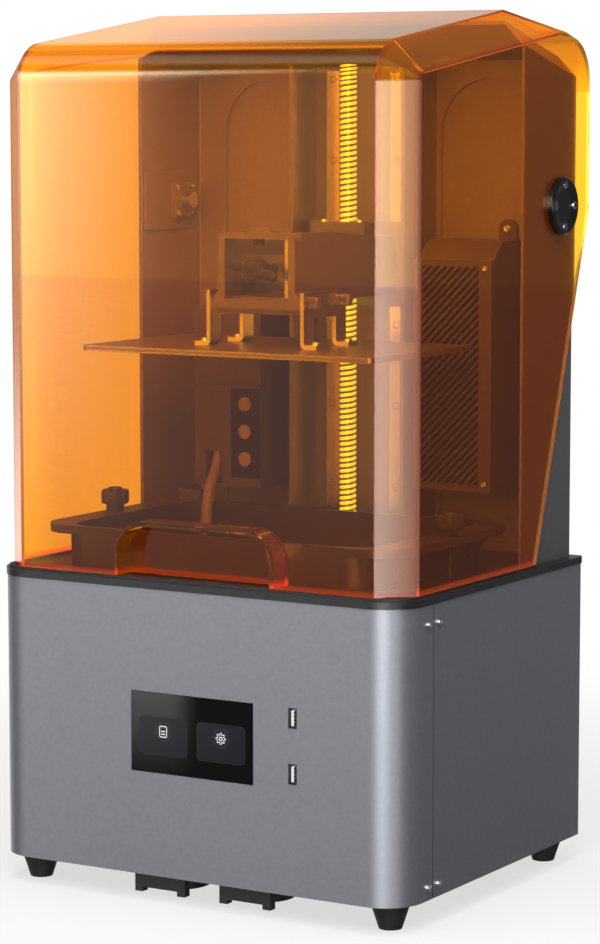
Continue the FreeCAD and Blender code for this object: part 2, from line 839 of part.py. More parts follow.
def build_fan(label, side):
    """Round duct between two posted bars under the floor, and the rotor that turns in it."""
    x = side * s.fan_x
    y = along(s.fan_y)
    duct = rod(s.fan_diameter, s.foot_height - s.fan_clearance, (x, y, s.fan_clearance))
    bore_diameter = s.fan_diameter - 2 * s.fan_wall
    bore = rod(bore_diameter, s.foot_height, (x, y, 0))
    half_post = s.fan_post_size / 2
    bar_x = s.fan_post_x + half_post
    mounts = []
    for dy in (-s.fan_post_y, s.fan_post_y):
        mounts.append(box(
            (x - bar_x, y + dy - half_post, s.fan_clearance), (x + bar_x, y + dy + half_post, s.foot_height)
        ))
        for dx in (-s.fan_post_x, s.fan_post_x):
            mounts.append(box(
                (x + dx - half_post, y + dy - half_post, s.fan_post_clearance),
                (x + dx + half_post, y + dy + half_post, s.foot_height),
            ))
    ring = cut(fuse(duct, *mounts), bore)
    hub = rod(s.fan_hub_diameter, 2, (x, y, s.foot_height - 2))
    spokes = [
        box((x - bore_diameter / 2 - 1, y - 1, s.foot_height - 2), (x + bore_diameter / 2 + 1, y + 1, s.foot_height)),
        box((x - 1, y - bore_diameter / 2 - 1, s.foot_height - 2), (x + 1, y + bore_diameter / 2 + 1, s.foot_height)),
    ]
    shaft_low = s.fan_clearance + 1.5
    shaft = rod(s.fan_shaft_diameter, s.foot_height - shaft_low, (x, y, shaft_low))
    node(f"fan_housing_{label}", fuse(ring, hub, *spokes, shaft))

    rotor_low = s.fan_clearance + 1
    rotor_high = s.foot_height - 2 - s.fit_gap
    rotor_hub = rod(s.fan_hub_diameter, rotor_high - rotor_low, (x, y, rotor_low))
    blade_tip = bore_diameter / 2 - s.fan_blade_gap
    blades = []
    for number in range(FAN_BLADES):
        blade = doc.addObject("Part::Box", "blade")
        pitch = Rotation(Vector(0, 0, 1), 360 / FAN_BLADES * number).multiply(Rotation(Vector(1, 0, 0), 35))
        bind(blade, Length=blade_tip - s.fan_hub_diameter / 2 + 1.5, Width=9.0, Height=1.0)
        reach = Vector(float(s.fan_hub_diameter / 2) - 1.5, -4.5, -0.5)
        offset = pitch.multVec(reach)
        middle_z = (rotor_low + rotor_high) / 2
        blade.Placement = Placement(Vector(), pitch)
        bind(
            blade, Placement__Base__x=x + offset.x, Placement__Base__y=y + offset.y,
            Placement__Base__z=middle_z + offset.z,
        )
        blades.append(blade)
    bore = rod(s.fan_shaft_diameter + 2 * s.shaft_gap, rotor_high - rotor_low + 2, (x, y, rotor_low - 1))
    node(f"fan_rotor_{label}", cut(fuse(rotor_hub, *blades), bore))


# Tower


def tower_envelope(drop):
    """Solid under the tower's roof: its upper corners are chamfered and it falls towards the back.

    The roof's section is extruded along a slanted line, so it keeps the slope of the lid's rear panel.
    drop lowers the whole roof, for the inside of a wall.
    """
    fall = (float(s.lid_ridge_z) - float(s.lid_rear_top)) / (float(s.lid_rear) - float(s.lid_ridge_y))
    depth = float(s.tower_back) - float(s.tower_front)
    side = float(tower_half)
    low = float(deck_top)
    eave = low + float(s.tower_side_height) - drop
    top = eave + float(s.tower_chamfer)
    shoulder = side - float(s.tower_chamfer)
    y = float(along(s.tower_front))
    corners = [(-side, low - depth), (-side, eave), (-shoulder, top), (shoulder, top), (side, eave), (side, low - depth)]
    wire = Part.makePolygon([Vector(x, y, z) for x, z in corners + corners[:1]])
    slanted = Part.Face(wire).extrude(Vector(0, depth, -depth * fall))
    below = Part.makeBox(4 * side, 4 * depth, 4 * depth, Vector(-2 * side, y - depth, low - 4 * depth))
    return plain(slanted.cut(below))


def build_tower():
    """Shell with an open front, its roof, the embossed inner panel and the Z channel."""
    front = along(s.tower_front)
    back = along(s.tower_back)
    w = s.tower_wall
    outer = [(tower_half, back), (-tower_half, back)]
    inner = [(-tower_inner, back - w), (tower_inner, back - w)]
    outline = [(tower_half, front), *outer, (-tower_half, front), (-tower_inner, front), *inner, (tower_inner, front)]
    walls = prism(
        "XY", outline, deck_top, s.tower_side_height + s.tower_chamfer,
        rounds=[(s.tower_corner_radius, outer), (s.tower_corner_radius - w, inner)],
    )
    pin_hole = rod(s.hinge_pin_diameter + 2 * s.fit_gap, 2 * tower_half + 2, (-tower_half - 1, hinge_y, s.hinge_z), "x")
    node("tower_shell", cut(common(walls, tower_envelope(0)), pin_hole))

    roof_corners = [(tower_inner, back - w), (-tower_inner, back - w)]
    roof_plan = prism(
        "XY", [(-tower_inner, front), (tower_inner, front), *roof_corners], deck_top,
        s.tower_side_height + s.tower_chamfer, rounds=[(s.tower_corner_radius - w, roof_corners)],
    )
    node("tower_roof", cut(common(roof_plan, tower_envelope(0)), tower_envelope(float(s.roof_thickness))))

    panel_back = panel_front + s.panel_thickness
    panel = box((-panel_half, panel_front, deck_top), (panel_half, panel_back, deck_top + s.panel_height))
    bays = []
    for side in (-1, 1):
        arch_top = deck_top + s.panel_height - s.bay_drop
        left = side * bay_x - s.bay_width / 2
        right = side * bay_x + s.bay_width / 2
        spring = arch_top - s.bay_width / 2
        bays.append(box((left, panel_front - 1, deck_top + 8), (right, panel_back + 1, spring)))
        bays.append(rod(s.bay_width, s.panel_thickness + 2, (side * bay_x, panel_front - 1, spring), "y"))
    node("inner_panel", cut(panel, *bays))

    half = s.channel_width / 2
    cw = s.channel_wall
    face = channel_face
    channel_front = along(s.channel_front)
    channel = [
        (-half, channel_front), (-half + cw, channel_front), (-half + cw, face), (half - cw, face),
        (half - cw, channel_front), (half, channel_front), (half, panel_front), (-half, panel_front),
    ]
    node("z_channel", prism("XY", channel, deck_top, s.channel_height))
    node("linear_rails", group([
        box(
            (side * s.rail_x - s.rail_width / 2, face - s.rail_depth, s.rail_bottom),
            (side * s.rail_x + s.rail_width / 2, face, s.rail_top),
        )
        for side in (-1, 1)
    ]))
    switch_top = deck_top + s.channel_height - s.limit_switch_drop
    switch_low = switch_top - s.limit_switch_height
    switch_right = half - cw
    switch_left = switch_right - s.limit_switch_width
    node("limit_switch", box((switch_left, face - s.limit_switch_depth, switch_low), (switch_right, face, switch_top)))


def build_screw_drive():
    """Motor under the deck, lower bearing and the lead screw that turns in them."""
    half = s.motor_size / 2
    bore_diameter = s.journal_diameter + 2 * s.shaft_gap
    motor_low = shell_top - s.motor_height
    corners = rectangle(-half, screw_y - half, half, screw_y + half)
    node("z_motor", prism(
        "XY", corners, motor_low, s.motor_height, rounds=[(4, corners)], circles=[((0, screw_y), bore_diameter)]
    ))
    half = s.bearing_width / 2
    block = box(
        (-half, screw_y - s.bearing_width / 3, deck_top), (half, screw_y + s.bearing_width / 3, deck_top + s.bearing_height)
    )
    collar = rod(s.screw_diameter + 6, s.screw_bottom - deck_top - s.fit_gap, (0, screw_y, deck_top))
    bore = rod(bore_diameter, s.screw_bottom, (0, screw_y, deck_top - 1))
    node("screw_bearing", cut(fuse(block, collar), bore))
    journal_low = motor_low + s.motor_height / 2
    node("lead_screw", turned(
        [
            (0, journal_low), (s.journal_diameter / 2, journal_low), (s.journal_diameter / 2, s.screw_bottom),
            (s.screw_diameter / 2, s.screw_bottom), (s.screw_diameter / 2, s.screw_top - 2),
            (s.screw_diameter / 2 - 2, s.screw_top), (0, s.screw_top),
        ],
        (0, screw_y, 0),
    ))


# Carriage and build platform


def build_carriage():
    """Blocks on the rails, the plate they carry, the nut and its bracket."""
    face = channel_face
    low = s.carriage_bottom
    high = low + s.carriage_height
    gap = s.fit_gap
    plate_back = face - s.rail_depth - 4
    blocks = []
    for side in (-1, 1):
        for z in (low, high - s.block_height / 2 - 4):
            x = side * s.rail_x
            body = box((x - s.block_width / 2, plate_back, z), (x + s.block_width / 2, face - 1.5, z + s.block_height / 2 + 4))
            groove = box(
                (x - s.rail_width / 2 - gap, face - s.rail_depth - gap, z - 1),
                (x + s.rail_width / 2 + gap, face, z + s.block_height),
            )
            blocks.append(cut(body, groove))
    node("rail_blocks", group(blocks))
    plate_front = plate_back - s.carriage_thickness
    half = s.carriage_width / 2
    corners = rectangle(-half, low, half, high)
    node("carriage_plate", prism("XZ", corners, -plate_back, s.carriage_thickness, rounds=[(3, corners)]))
    bore = rod(s.screw_diameter + 2 * s.shaft_gap, s.carriage_height, (0, screw_y, low))
    bracket_front = screw_y - s.nut_diameter / 2 - 4
    bracket = box(
        (-s.bracket_width / 2, bracket_front, s.bracket_z - s.bracket_height / 2),
        (s.bracket_width / 2, plate_front, s.bracket_z + s.bracket_height / 2),
    )
    wide_bore = rod(s.screw_diameter + 2, s.carriage_height + 20, (0, screw_y, low))
    node("nut_bracket", cut(bracket, wide_bore))
    nut_top = s.bracket_z - s.bracket_height / 2
    flange = rod(s.nut_diameter, 5, (0, screw_y, nut_top - 5))
    barrel = rod(s.nut_diameter - 6, s.nut_height, (0, screw_y, nut_top - s.nut_height))
    node("lead_nut", cut(fuse(flange, barrel), bore))
    return plate_front


def build_arm(plate_front):
    """Cantilever arm, the clamp frame on its end and the wing knob in the frame's window."""
    half = s.arm_width / 2
    front = along(s.arm_front)
    low = s.frame_bottom
    side_outline = [
        (front, low + 5), (front, s.frame_top), (front + 40, s.frame_top),
        (plate_front, s.frame_top - 8), (plate_front, low + 5),
    ]
    cheeks = [
        prism("YZ", side_outline, x, s.arm_cheek)
        for x in (-half, half - s.arm_cheek)
    ]
    web = box((-half, front, low + 5), (half, screw_y - s.nut_diameter, low + 5 + s.arm_web))
    node("arm_beam", fuse(*cheeks, web))
    shoulders = [(half, s.frame_top), (-half, s.frame_top)]
    tab_half = s.frame_tab_width / 2
    tab_top = s.frame_top + s.frame_tab_height
    tab_lean = s.frame_tab_height
    frame_outline = [
        (-s.leg_x, low), (s.leg_x, low), (s.leg_x, s.window_bottom), (half, s.window_bottom + s.frame_flare),
        shoulders[0], (tab_half, s.frame_top), (tab_half - tab_lean, tab_top), (tab_lean - tab_half, tab_top),
        (-tab_half, s.frame_top), shoulders[1],
        (-half, s.window_bottom + s.frame_flare), (-s.leg_x, s.window_bottom),
    ]
    window_half = s.window_width / 2
    window = rectangle(-window_half, s.window_bottom, window_half, s.window_top)
    node("arm_frame", prism(
        "XZ", frame_outline, -front, s.frame_thickness, holes=[window],
        rounds=[(s.frame_corner_radius, shoulders)],
    ))
    stud_diameter = s.knob_hub_diameter / 2
    stud_back = front + 16
    boss = box((-half + s.arm_cheek, stud_back, s.knob_z - 9), (half - s.arm_cheek, stud_back + 10, s.knob_z + 9))
    stud_hole = rod(stud_diameter + 2 * s.shaft_gap, 14, (0, stud_back - 1, s.knob_z), "y")
    node("clamp_block", cut(boss, stud_hole))
    hub_front = front - s.frame_thickness + 2
    hub_length = stud_back - hub_front - s.fit_gap
    wing_half = s.knob_span / 2
    wing_outline = [
        (-wing_half, s.knob_z - 6), (-4, s.knob_z - 5), (4, s.knob_z - 5), (wing_half, s.knob_z - 6),
        (wing_half, s.knob_z + 6), (4, s.knob_z + 5), (-4, s.knob_z + 5), (-wing_half, s.knob_z + 6),
    ]
    tips = [wing_outline[index] for index in (0, 3, 4, 7)]
    wings = prism("XZ", wing_outline, -(hub_front + 10), 10, rounds=[(4, tips)])
    hub = rod(s.knob_hub_diameter, hub_length, (0, hub_front, s.knob_z), "y")
    stud = rod(stud_diameter, 9 + s.fit_gap, (0, hub_front + hub_length, s.knob_z), "y")
    node("clamp_knob", fuse(wings, hub, stud))


def build_platform():
    """Build plate hung from two bent side plates, each with two footed legs, on a block under the arm."""
    t = s.leg_thickness
    block_top = s.frame_bottom + 5
    middle = along(exposure_y) + 1
    half_length = (s.leg_pitch + s.leg_width) / 2
    node("platform_block", box(
        (-s.leg_x, along(s.arm_front), block_top - s.platform_block_height), (s.leg_x, middle + half_length, block_top)
    ))
    legs = []
    for side in (-1, 1):
        inner_x = side * s.leg_x
        outer_x = side * (s.leg_x + t)
        foot_x = side * (s.leg_x + s.leg_foot)
        outline = [
            (inner_x, s.plate_top), (foot_x, s.plate_top), (foot_x, s.plate_top + t), (outer_x, s.plate_top + t),
            (outer_x, s.leg_top), (inner_x, s.leg_top),
        ]
        feet = [
            prism(
                "XZ", outline, -(middle + end * s.leg_pitch / 2 + s.leg_width / 2), s.leg_width,
                rounds=[(t + 1, [outline[0]]), (1, [outline[3]])],
            )
            for end in (-1, 1)
        ]
        sides = sorted((inner_x, outer_x), key=float)
        bridge = box(
            (sides[0], middle - half_length, s.leg_arch_top), (sides[1], middle + half_length, s.leg_top)
        )
        legs.append(fuse(bridge, *feet))
    node("platform_legs", group(legs))
    mid = along(exposure_y)
    node("build_plate", rounded_plate(
        -plate_half, mid - s.plate_depth / 2, plate_half, mid + s.plate_depth / 2,
        s.plate_top - s.plate_thickness, s.plate_top, 4,
    ))


# Resin vat


def build_vat():
    """Tub with a wide rim, its film and frame, and the two knobs that hold it down."""
    half = vat_half
    front = along(s.vat_front)
    back = along(s.vat_back)
    w = s.vat_wall
    frame_low = vat_bottom
    frame_high = frame_low + s.film_frame_height
    tub_low = frame_high
    rim_low = vat_top - s.vat_rim_thickness
    r = s.vat_corner_radius
    tub = rounded_plate(-half, front, half, back, tub_low, vat_top, r)
    rim = rounded_plate(-rim_half, front, rim_half, back, rim_low, vat_top, r)
    hollow = rounded_plate(-half + w, front + w, half - w, back - w, tub_low - 1, vat_top + 1, r - w)
    gussets = []
    for side in (-1, 1):
        for y in (front + s.gusset_inset, back - s.gusset_inset):
            outline = [
                (side * (half - 1), tub_low + 4), (side * (rim_half - 2), rim_low), (side * (half - 1), rim_low),
            ]
            gussets.append(prism("XZ", outline, -y, w))
    lip_right = slot_x - s.hose_diameter
    lip = box((lip_right - s.lip_width, back - w, rim_low), (lip_right, back, vat_top + s.lip_height))
    holes = [
        rod(s.vat_stud_diameter + 2 * s.fit_gap, s.vat_height, (side * vat_knob_x, along(exposure_y), vat_bottom))
        for side in (-1, 1)
    ]
    node("resin_vat", cut(fuse(tub, rim, lip, *gussets), hollow, *holes))

    fw = s.film_frame_width
    outer = rectangle(-half, front, half, back)
    inner = rectangle(-half + fw, front + fw, half - fw, back - fw)
    node("film_frame", prism(
        "XY", outer, frame_low, s.film_frame_height - s.film_thickness, holes=[inner],
        rounds=[(r, outer), (r - fw, inner)],
    ))
    node("vat_film", rounded_plate(-half, front, half, back, tub_low - s.film_thickness, tub_low, r))

    for label, side in (("left", -1), ("right", 1)):
        x = side * vat_knob_x
        y = along(exposure_y)
        stem_top = vat_top + s.fit_gap + s.vat_knob_stem
        head_top = stem_top + s.vat_knob_height
        crown = []
        for number in range(4 * KNOB_LOBES):
            turn = math.radians(360 / (4 * KNOB_LOBES) * (number + 0.5))
            reach = s.vat_knob_diameter / 2 - (number // 2 % 2) * s.vat_knob_flute
            crown.append((x + reach * math.cos(turn), y + reach * math.sin(turn)))
        head = prism("XY", crown, stem_top, s.vat_knob_height)
        stem = taper(
            s.vat_stud_diameter + 6, s.vat_stud_diameter + 3, s.vat_knob_stem, (x, y, vat_top + s.fit_gap)
        )
        cap = taper(s.vat_knob_diameter / 2, s.vat_knob_diameter / 3, 2, (x, y, head_top))
        stud = rod(s.vat_stud_diameter, vat_top + s.fit_gap - shell_top - 1, (x, y, shell_top + 1))
        node(f"vat_knob_{label}", fuse(head, stem, stud, cap))


# Modules on the tower's back


def build_filter():
    """Air filter box, its slanted-slot grille and the carbon block behind it."""
    right = module_edge
    left = right - s.filter_width
    low = s.filter_bottom
    top = low + s.filter_height
    front = along(s.module_front)
    body_front = front + s.module_cover
    back = wall_face
    slope_z = top - s.filter_slope
    outline = [(body_front, low), (body_front, slope_z), (body_front + s.filter_slope, top), (back, top), (back, low)]
    body = prism("YZ", outline, left, s.filter_width)
    border = s.grille_border
    cavity = box(
        (left + border, body_front - 1, low + border),
        (right - border, body_front + s.carbon_depth + s.fit_gap, slope_z - border),
    )
    ear_x = right - 7
    ear = box((ear_x - 7, back - 22, top), (ear_x + 7, back - 18, top + 8))
    ear_round = rod(14, 4, (ear_x, back - 22, top + 8), "y")
    node("filter_box", fuse(cut(body, cavity), ear, ear_round))
    node("carbon_filter", box(
        (left + border + s.fit_gap, body_front + s.fit_gap, low + border + s.fit_gap),
        (right - border - s.fit_gap, body_front + s.carbon_depth, slope_z - border - s.fit_gap),
    ))

    plate = prism("XZ", rectangle(left, low, right, slope_z), -body_front, s.module_cover)
    window_right = right - 2 * border
    window = box((left + border, front - 1, low + border), (window_right, body_front + 1, slope_z - border))
    run = float(window_right - left)
    rise = float(slope_z - low)
    slots = []
    slot_count = int((run + rise) / float(s.grille_pitch))
    slant = Rotation(Vector(0, 1, 0), -45)
    for number in range(slot_count):
        bar = doc.addObject("Part::Box", "slot")
        bind(bar, Length=s.filter_width * 1.5, Width=s.module_cover + 4, Height=s.grille_slot)
        bar.Placement = Placement(Vector(), slant)
        bind(
            bar, Placement__Base__x=left, Placement__Base__y=front - 2,
            Placement__Base__z=low - run + number * s.grille_pitch,
        )
        slots.append(bar)
    node("filter_grille", cut(plate, common(group(slots), window)))


def build_pump():
    """Resin pump: box, two-part front cover, three push buttons, outlet and hose."""
    left = -module_edge
    right = left + s.pump_width
    low = s.pump_bottom
    top = low + s.pump_height
    front = along(s.module_front)
    body_front = front + s.module_cover
    slot_left = slot_x - s.slot_width / 2
    slot_right = slot_x + s.slot_width / 2
    slot_top = low + s.slot_height
    outlet_top = low + s.outlet_height
    body = box((left, body_front, low), (right, wall_face, top))
    slot = box((slot_left, front - 1, low - 1), (slot_right, body_front + 1, slot_top))
    recess = box((slot_left, body_front - 1, low - 1), (slot_right, front + s.slot_depth, outlet_top))
    button_places = [(button_x, s.button_top_z - number * s.button_pitch) for number in range(3)]
    wells = [
        rod(s.button_diameter + 2 * s.fit_gap, s.button_depth + s.button_travel + 1.6, (x, body_front - 1, z), "y")
        for x, z in button_places
    ]
    node("pump_box", cut(body, recess, *wells))
    cover_corners = rectangle(left, low, right, s.pump_seam - s.seam_gap)
    top_corners = rectangle(left, s.pump_seam, right, top)
    lower_cover = prism(
        "XZ", cover_corners, -body_front, s.module_cover,
        circles=[(spot, s.button_diameter + 2 * s.fit_gap) for spot in button_places],
    )
    upper_cover = prism("XZ", top_corners, -body_front, s.module_cover, rounds=[(3, top_corners[2:])])
    node("pump_covers", group([cut(lower_cover, slot), upper_cover]))
    for number, (x, z) in enumerate(button_places, start=1):
        cap = rod(s.button_diameter, s.module_cover + 1.2, (x, front - 1.2, z), "y")
        stem = rod(s.button_diameter / 2, s.button_depth - 0.6, (x, body_front, z), "y")
        node(f"pump_button_{number}", fuse(cap, stem))

    route = [Vector(float(slot_x), float(along(y)), z) for y, z in HOSE_ROUTE]
    barb_length = 10
    outlet_y = along(HOSE_ROUTE[0][0])
    outlet_z = HOSE_ROUTE[0][1]
    barb = rod(s.hose_bore - 2 * s.shaft_gap, barb_length, (slot_x, outlet_y, outlet_z - barb_length))
    collar = rod(s.hose_diameter + 2 * s.collar_wall, outlet_top - outlet_z, (slot_x, outlet_y, outlet_z))
    node("hose_fitting", fuse(barb, collar))
    node("pump_hose", plain(tube_along(route, float(s.hose_diameter) / 2, float(s.hose_bore) / 2)))


def tube_along(points, outer, inner):
    """Tube along straight runs joined by tangent arcs, each as large as its two runs allow."""
    edges = []
    start = points[0]
    for before, corner, after in zip(points, points[1:], points[2:]):
        to_before = (before - corner).normalize()
        to_after = (after - corner).normalize()
        half_turn = (math.pi - to_before.getAngle(to_after)) / 2
        tangent = 0.45 * min(before.distanceToPoint(corner), after.distanceToPoint(corner))
        radius = tangent / math.tan(half_turn)
        print(f"hose arc radius {radius:.1f}")
        first = corner + to_before * tangent
        last = corner + to_after * tangent
        bisector = (to_before + to_after).normalize()
        middle = corner + bisector * (radius / math.cos(half_turn) - radius)
        edges.append(Part.LineSegment(start, first).toShape())
        edges.append(Part.Arc(first, middle, last).toShape())
        start = last
    edges.append(Part.LineSegment(start, points[-1]).toShape())
    path = Part.Wire(edges)
    way = points[1] - points[0]
    solids = []
    for radius in (outer, inner):
        ring = Part.Wire([Part.Circle(points[0], way, radius).toShape()])
        solids.append(path.makePipeShell([ring], True, False))
    tube = solids[0].cut(solids[1])
    expected = math.pi * (outer ** 2 - inner ** 2) * path.Length
    print(f"hose length {path.Length:.1f}, volume {tube.Volume / expected:.4f} of section times length")
    return tube


# Lid and hinge


def slope_of(y0, z0, y1, z1):
    """Rise per unit of run between two points of the side view."""
    return (z1 - z0) / (y1 - y0)


def lid_tunnel(half, flat_half, inset, flat_inset):
    """Front and top of the lid as one ruled form with slanted edges along both sides.

    The side view is an upright front line and a rising top line joined by an arc. It is drawn at four
    places along X: pulled in by inset on the two side planes and by flat_inset where the slants begin.
    """
    y_front = float(along(s.lid_front))
    rise = slope_of(float(s.lid_front), float(s.lid_front_top), float(s.lid_ridge_y), float(s.lid_ridge_z))
    angle = math.atan(rise)
    far_y = y_front + 2 * float(s.base_depth)
    low_z = float(s.lid_bottom) - float(s.lid_wall) - float(s.base_depth)

    def section(x, pull):
        radius = float(s.lid_front_radius) - pull + float(s.lid_wall)
        y = y_front + pull
        corner_z = float(s.lid_front_top) + pull * rise - pull / math.cos(angle)
        tangent = radius * math.tan((math.pi / 2 - angle) / 2)
        arc_start = Vector(x, y, corner_z - tangent)
        arc_end = Vector(x, y + tangent * math.cos(angle), corner_z + tangent * math.sin(angle))
        centre = Vector(x, y + radius, corner_z - tangent)
        half_way = math.pi - (math.pi / 2 - angle) / 2
        middle = centre + Vector(0, radius * math.cos(half_way), radius * math.sin(half_way))
        top_back = Vector(x, far_y, corner_z + (far_y - y) * rise)
        foot = Vector(x, y, low_z)
        foot_back = Vector(x, far_y, low_z)
        return Part.Wire([
            Part.LineSegment(foot, arc_start).toShape(),
            Part.Arc(arc_start, middle, arc_end).toShape(),
            Part.LineSegment(arc_end, top_back).toShape(),
            Part.LineSegment(top_back, foot_back).toShape(),
            Part.LineSegment(foot_back, foot).toShape(),
        ])

    stations = [(-half, inset), (-flat_half, flat_inset), (flat_half, flat_inset), (half, inset)]
    return Part.makeLoft([section(x, pull) for x, pull in stations], True, True)


def lid_side_view(pull, open_below):
    """Side view behind the front: sloped rear panel, rounded rear corner and the cut-away foot.

    pull moves the rear panel and rear lip inwards; open_below leaves the hollow open at the back and bottom.
    """
    fall = slope_of(float(s.lid_ridge_y), float(s.lid_ridge_z), float(s.lid_rear), float(s.lid_rear_top))
    angle = math.atan(-fall)
    ridge_y = float(along(s.lid_ridge_y))
    ridge_z = float(s.lid_ridge_z) - pull / math.cos(angle)
    far = float(s.base_depth)
    rear = float(along(s.lid_rear)) - pull
    corner_z = ridge_z + (rear - ridge_y) * fall
    radius = float(s.lid_rear_radius) - pull
    tangent = radius * math.tan((math.pi / 2 - angle) / 2)
    arc_start = Vector(0, rear - tangent * math.cos(angle), corner_z + tangent * math.sin(angle))
    arc_end = Vector(0, rear, corner_z - tangent)
    centre = Vector(0, rear - radius, corner_z - tangent)
    half_way = (math.pi / 2 - angle) / 2
    middle = centre + Vector(0, radius * math.cos(half_way), radius * math.sin(half_way))
    front_top = Vector(0, ridge_y - far, ridge_z - far * fall)
    if open_below:
        below = float(s.lid_bottom) - far / 4
        tail = [
            Vector(0, rear, float(s.lid_lip_bottom)), Vector(0, rear + far, float(s.lid_lip_bottom)),
            Vector(0, rear + far, below), Vector(0, ridge_y - far, below),
        ]
    else:
        tail = [
            Vector(0, rear, float(s.lid_notch_z)), Vector(0, float(along(s.lid_foot_back)), float(s.lid_bottom)),
            Vector(0, ridge_y - far, float(s.lid_bottom)),
        ]
    points = [arc_end, *tail, front_top, arc_start]
    edges = [Part.LineSegment(a, b).toShape() for a, b in zip(points, points[1:])]
    edges.append(Part.Arc(arc_start, middle, arc_end).toShape())
    face = Part.Face(Part.Wire(edges))
    span = 4 * float(lid_half)
    side_view = face.extrude(Vector(span, 0, 0))
    side_view.translate(Vector(-span / 2, 0, 0))
    return side_view


def grip_block(width, height, depth, radius, start):
    """Arch-topped block in the middle of the lid's front, from below the rim upwards."""
    half = width / 2
    low = float(s.lid_bottom) - float(s.lid_wall)
    top = float(s.lid_bottom) + height
    side = top - radius
    flat = half - radius
    lean = radius * math.sqrt(0.5)
    y = float(along(s.lid_front)) + start

    def at(x, z):
        return Vector(x, y, z)

    edges = [
        Part.LineSegment(at(-half, low), at(-half, side)).toShape(),
        Part.Arc(at(-half, side), at(-flat - lean, side + lean), at(-flat, top)).toShape(),
        Part.LineSegment(at(-flat, top), at(flat, top)).toShape(),
        Part.Arc(at(flat, top), at(flat + lean, side + lean), at(half, side)).toShape(),
        Part.LineSegment(at(half, side), at(half, low)).toShape(),
        Part.LineSegment(at(half, low), at(-half, low)).toShape(),
    ]
    return Part.Face(Part.Wire(edges)).extrude(Vector(0, depth, 0))


def build_lid():
    """Clear shell with slanted edges and a finger recess, and the caps that hinge it on the tower."""
    wall = float(s.lid_wall)
    half = float(lid_half)
    chamfer = float(s.lid_chamfer)
    outer = lid_tunnel(half, half - chamfer, chamfer, 0).common(lid_side_view(0, False))
    slant_shift = wall * math.sqrt(2)
    inner = lid_tunnel(half - wall, half - chamfer + wall - slant_shift, chamfer + slant_shift - wall, wall)
    shell = outer.cut(inner.common(lid_side_view(wall, True)))
    grip = [float(s.grip_width), float(s.grip_height), float(s.grip_depth), float(s.grip_radius)]
    pocket_wall = grip_block(grip[0] + 2 * wall, grip[1] + wall, grip[2] + wall, grip[3] + wall, 0)
    above_rim = Part.makeBox(
        2 * grip[0], 4 * grip[2], 2 * grip[1] + wall,
        Vector(-grip[0], float(along(s.lid_front)) - grip[2], float(s.lid_bottom)),
    )
    shell = shell.fuse(pocket_wall.common(above_rim))
    shell = shell.cut(grip_block(grip[0], grip[1], grip[2] + 1, grip[3], -1)).removeSplitter()
    pin_hole = rod(s.hinge_pin_diameter + 2 * s.shaft_gap, 2 * lid_half + 2, (-lid_half - 1, hinge_y, s.hinge_z), "x")
    node("lid_shell", cut(plain(shell), pin_hole))

    cap_radius = s.hinge_cap_diameter / 2
    thick = s.hinge_cap_thickness
    profile = [
        (0, 0), (cap_radius, 0), (cap_radius, thick - 1.2), (cap_radius - 1.2, thick), (cap_radius - 3, thick),
        (cap_radius - 9, thick - s.hinge_cap_dish), (0, thick - s.hinge_cap_dish),
    ]
    right_cap = turned(profile, (lid_half, hinge_y, s.hinge_z), "x")
    left_cap = turned(profile, (-lid_half, hinge_y, s.hinge_z), "-x")
    node("hinge_caps", group([right_cap, left_cap]))

    plate_x = tower_inner - s.hinge_plate_thickness
    plate_low = s.hinge_z - s.hinge_plate_height / 2
    plate_front = along(s.tower_front) + 4
    plate_back = hinge_y + s.hinge_flange / 2
    flange_x = plate_x - s.hinge_flange_thickness
    pieces = []
    pins = []
    for side in (-1, 1):
        sides = sorted((side * plate_x, side * tower_inner), key=float)
        plate = box((sides[0], plate_front, plate_low), (sides[1], plate_back, plate_low + s.hinge_plate_height))
        sides = sorted((side * flange_x, side * plate_x), key=float)
        half_flange = s.hinge_flange / 2
        flange = box(
            (sides[0], hinge_y - half_flange, s.hinge_z - half_flange),
            (sides[1], hinge_y + half_flange, s.hinge_z + half_flange),
        )
        way = "x" if side > 0 else "-x"
        hole = rod(s.hinge_pin_diameter, s.tower_wall + 30, (side * (flange_x - 10), hinge_y, s.hinge_z), way)
        pieces.append(cut(fuse(plate, flange), hole))
        pin_end = lid_half - s.shaft_gap
        pins.append(rod(s.hinge_pin_diameter, pin_end - flange_x + 8, (side * (flange_x - 8), hinge_y, s.hinge_z), way))
    node("hinge_brackets", group(pieces))
    node("hinge_pins", group(pins))


build_housing()
build_front_panel()
build_electronics()
build_fan("left", -1)
build_fan("right", 1)
build_tower()
build_screw_drive()
arm_back = build_carriage()
build_arm(arm_back)
build_platform()
build_vat()
build_filter()
build_pump()
build_lid()
doc.recompute()

failed = [item for item in doc.Objects if "Invalid" in item.State or "Error" in item.State]
for item in failed:
    print(f"{item.Label} failed: {item.State}, used by {[user.Label for user in item.InListRecursive]}")
unsound = [label for label, item in NODES.items() if item.Shape.isNull() or not item.Shape.isValid()]
if failed or unsound:
    raise RuntimeError(f"{len(failed)} objects failed, no valid shape for {unsound}")

os.makedirs("parts", exist_ok=True)
for label, item in NODES.items():
    item.Shape.exportStep(f"parts/{label}.step")
print(f"{len(NODES)} nodes, {sum(len(item.Shape.Solids) for item in NODES.values())} solids")
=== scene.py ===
import json
import math

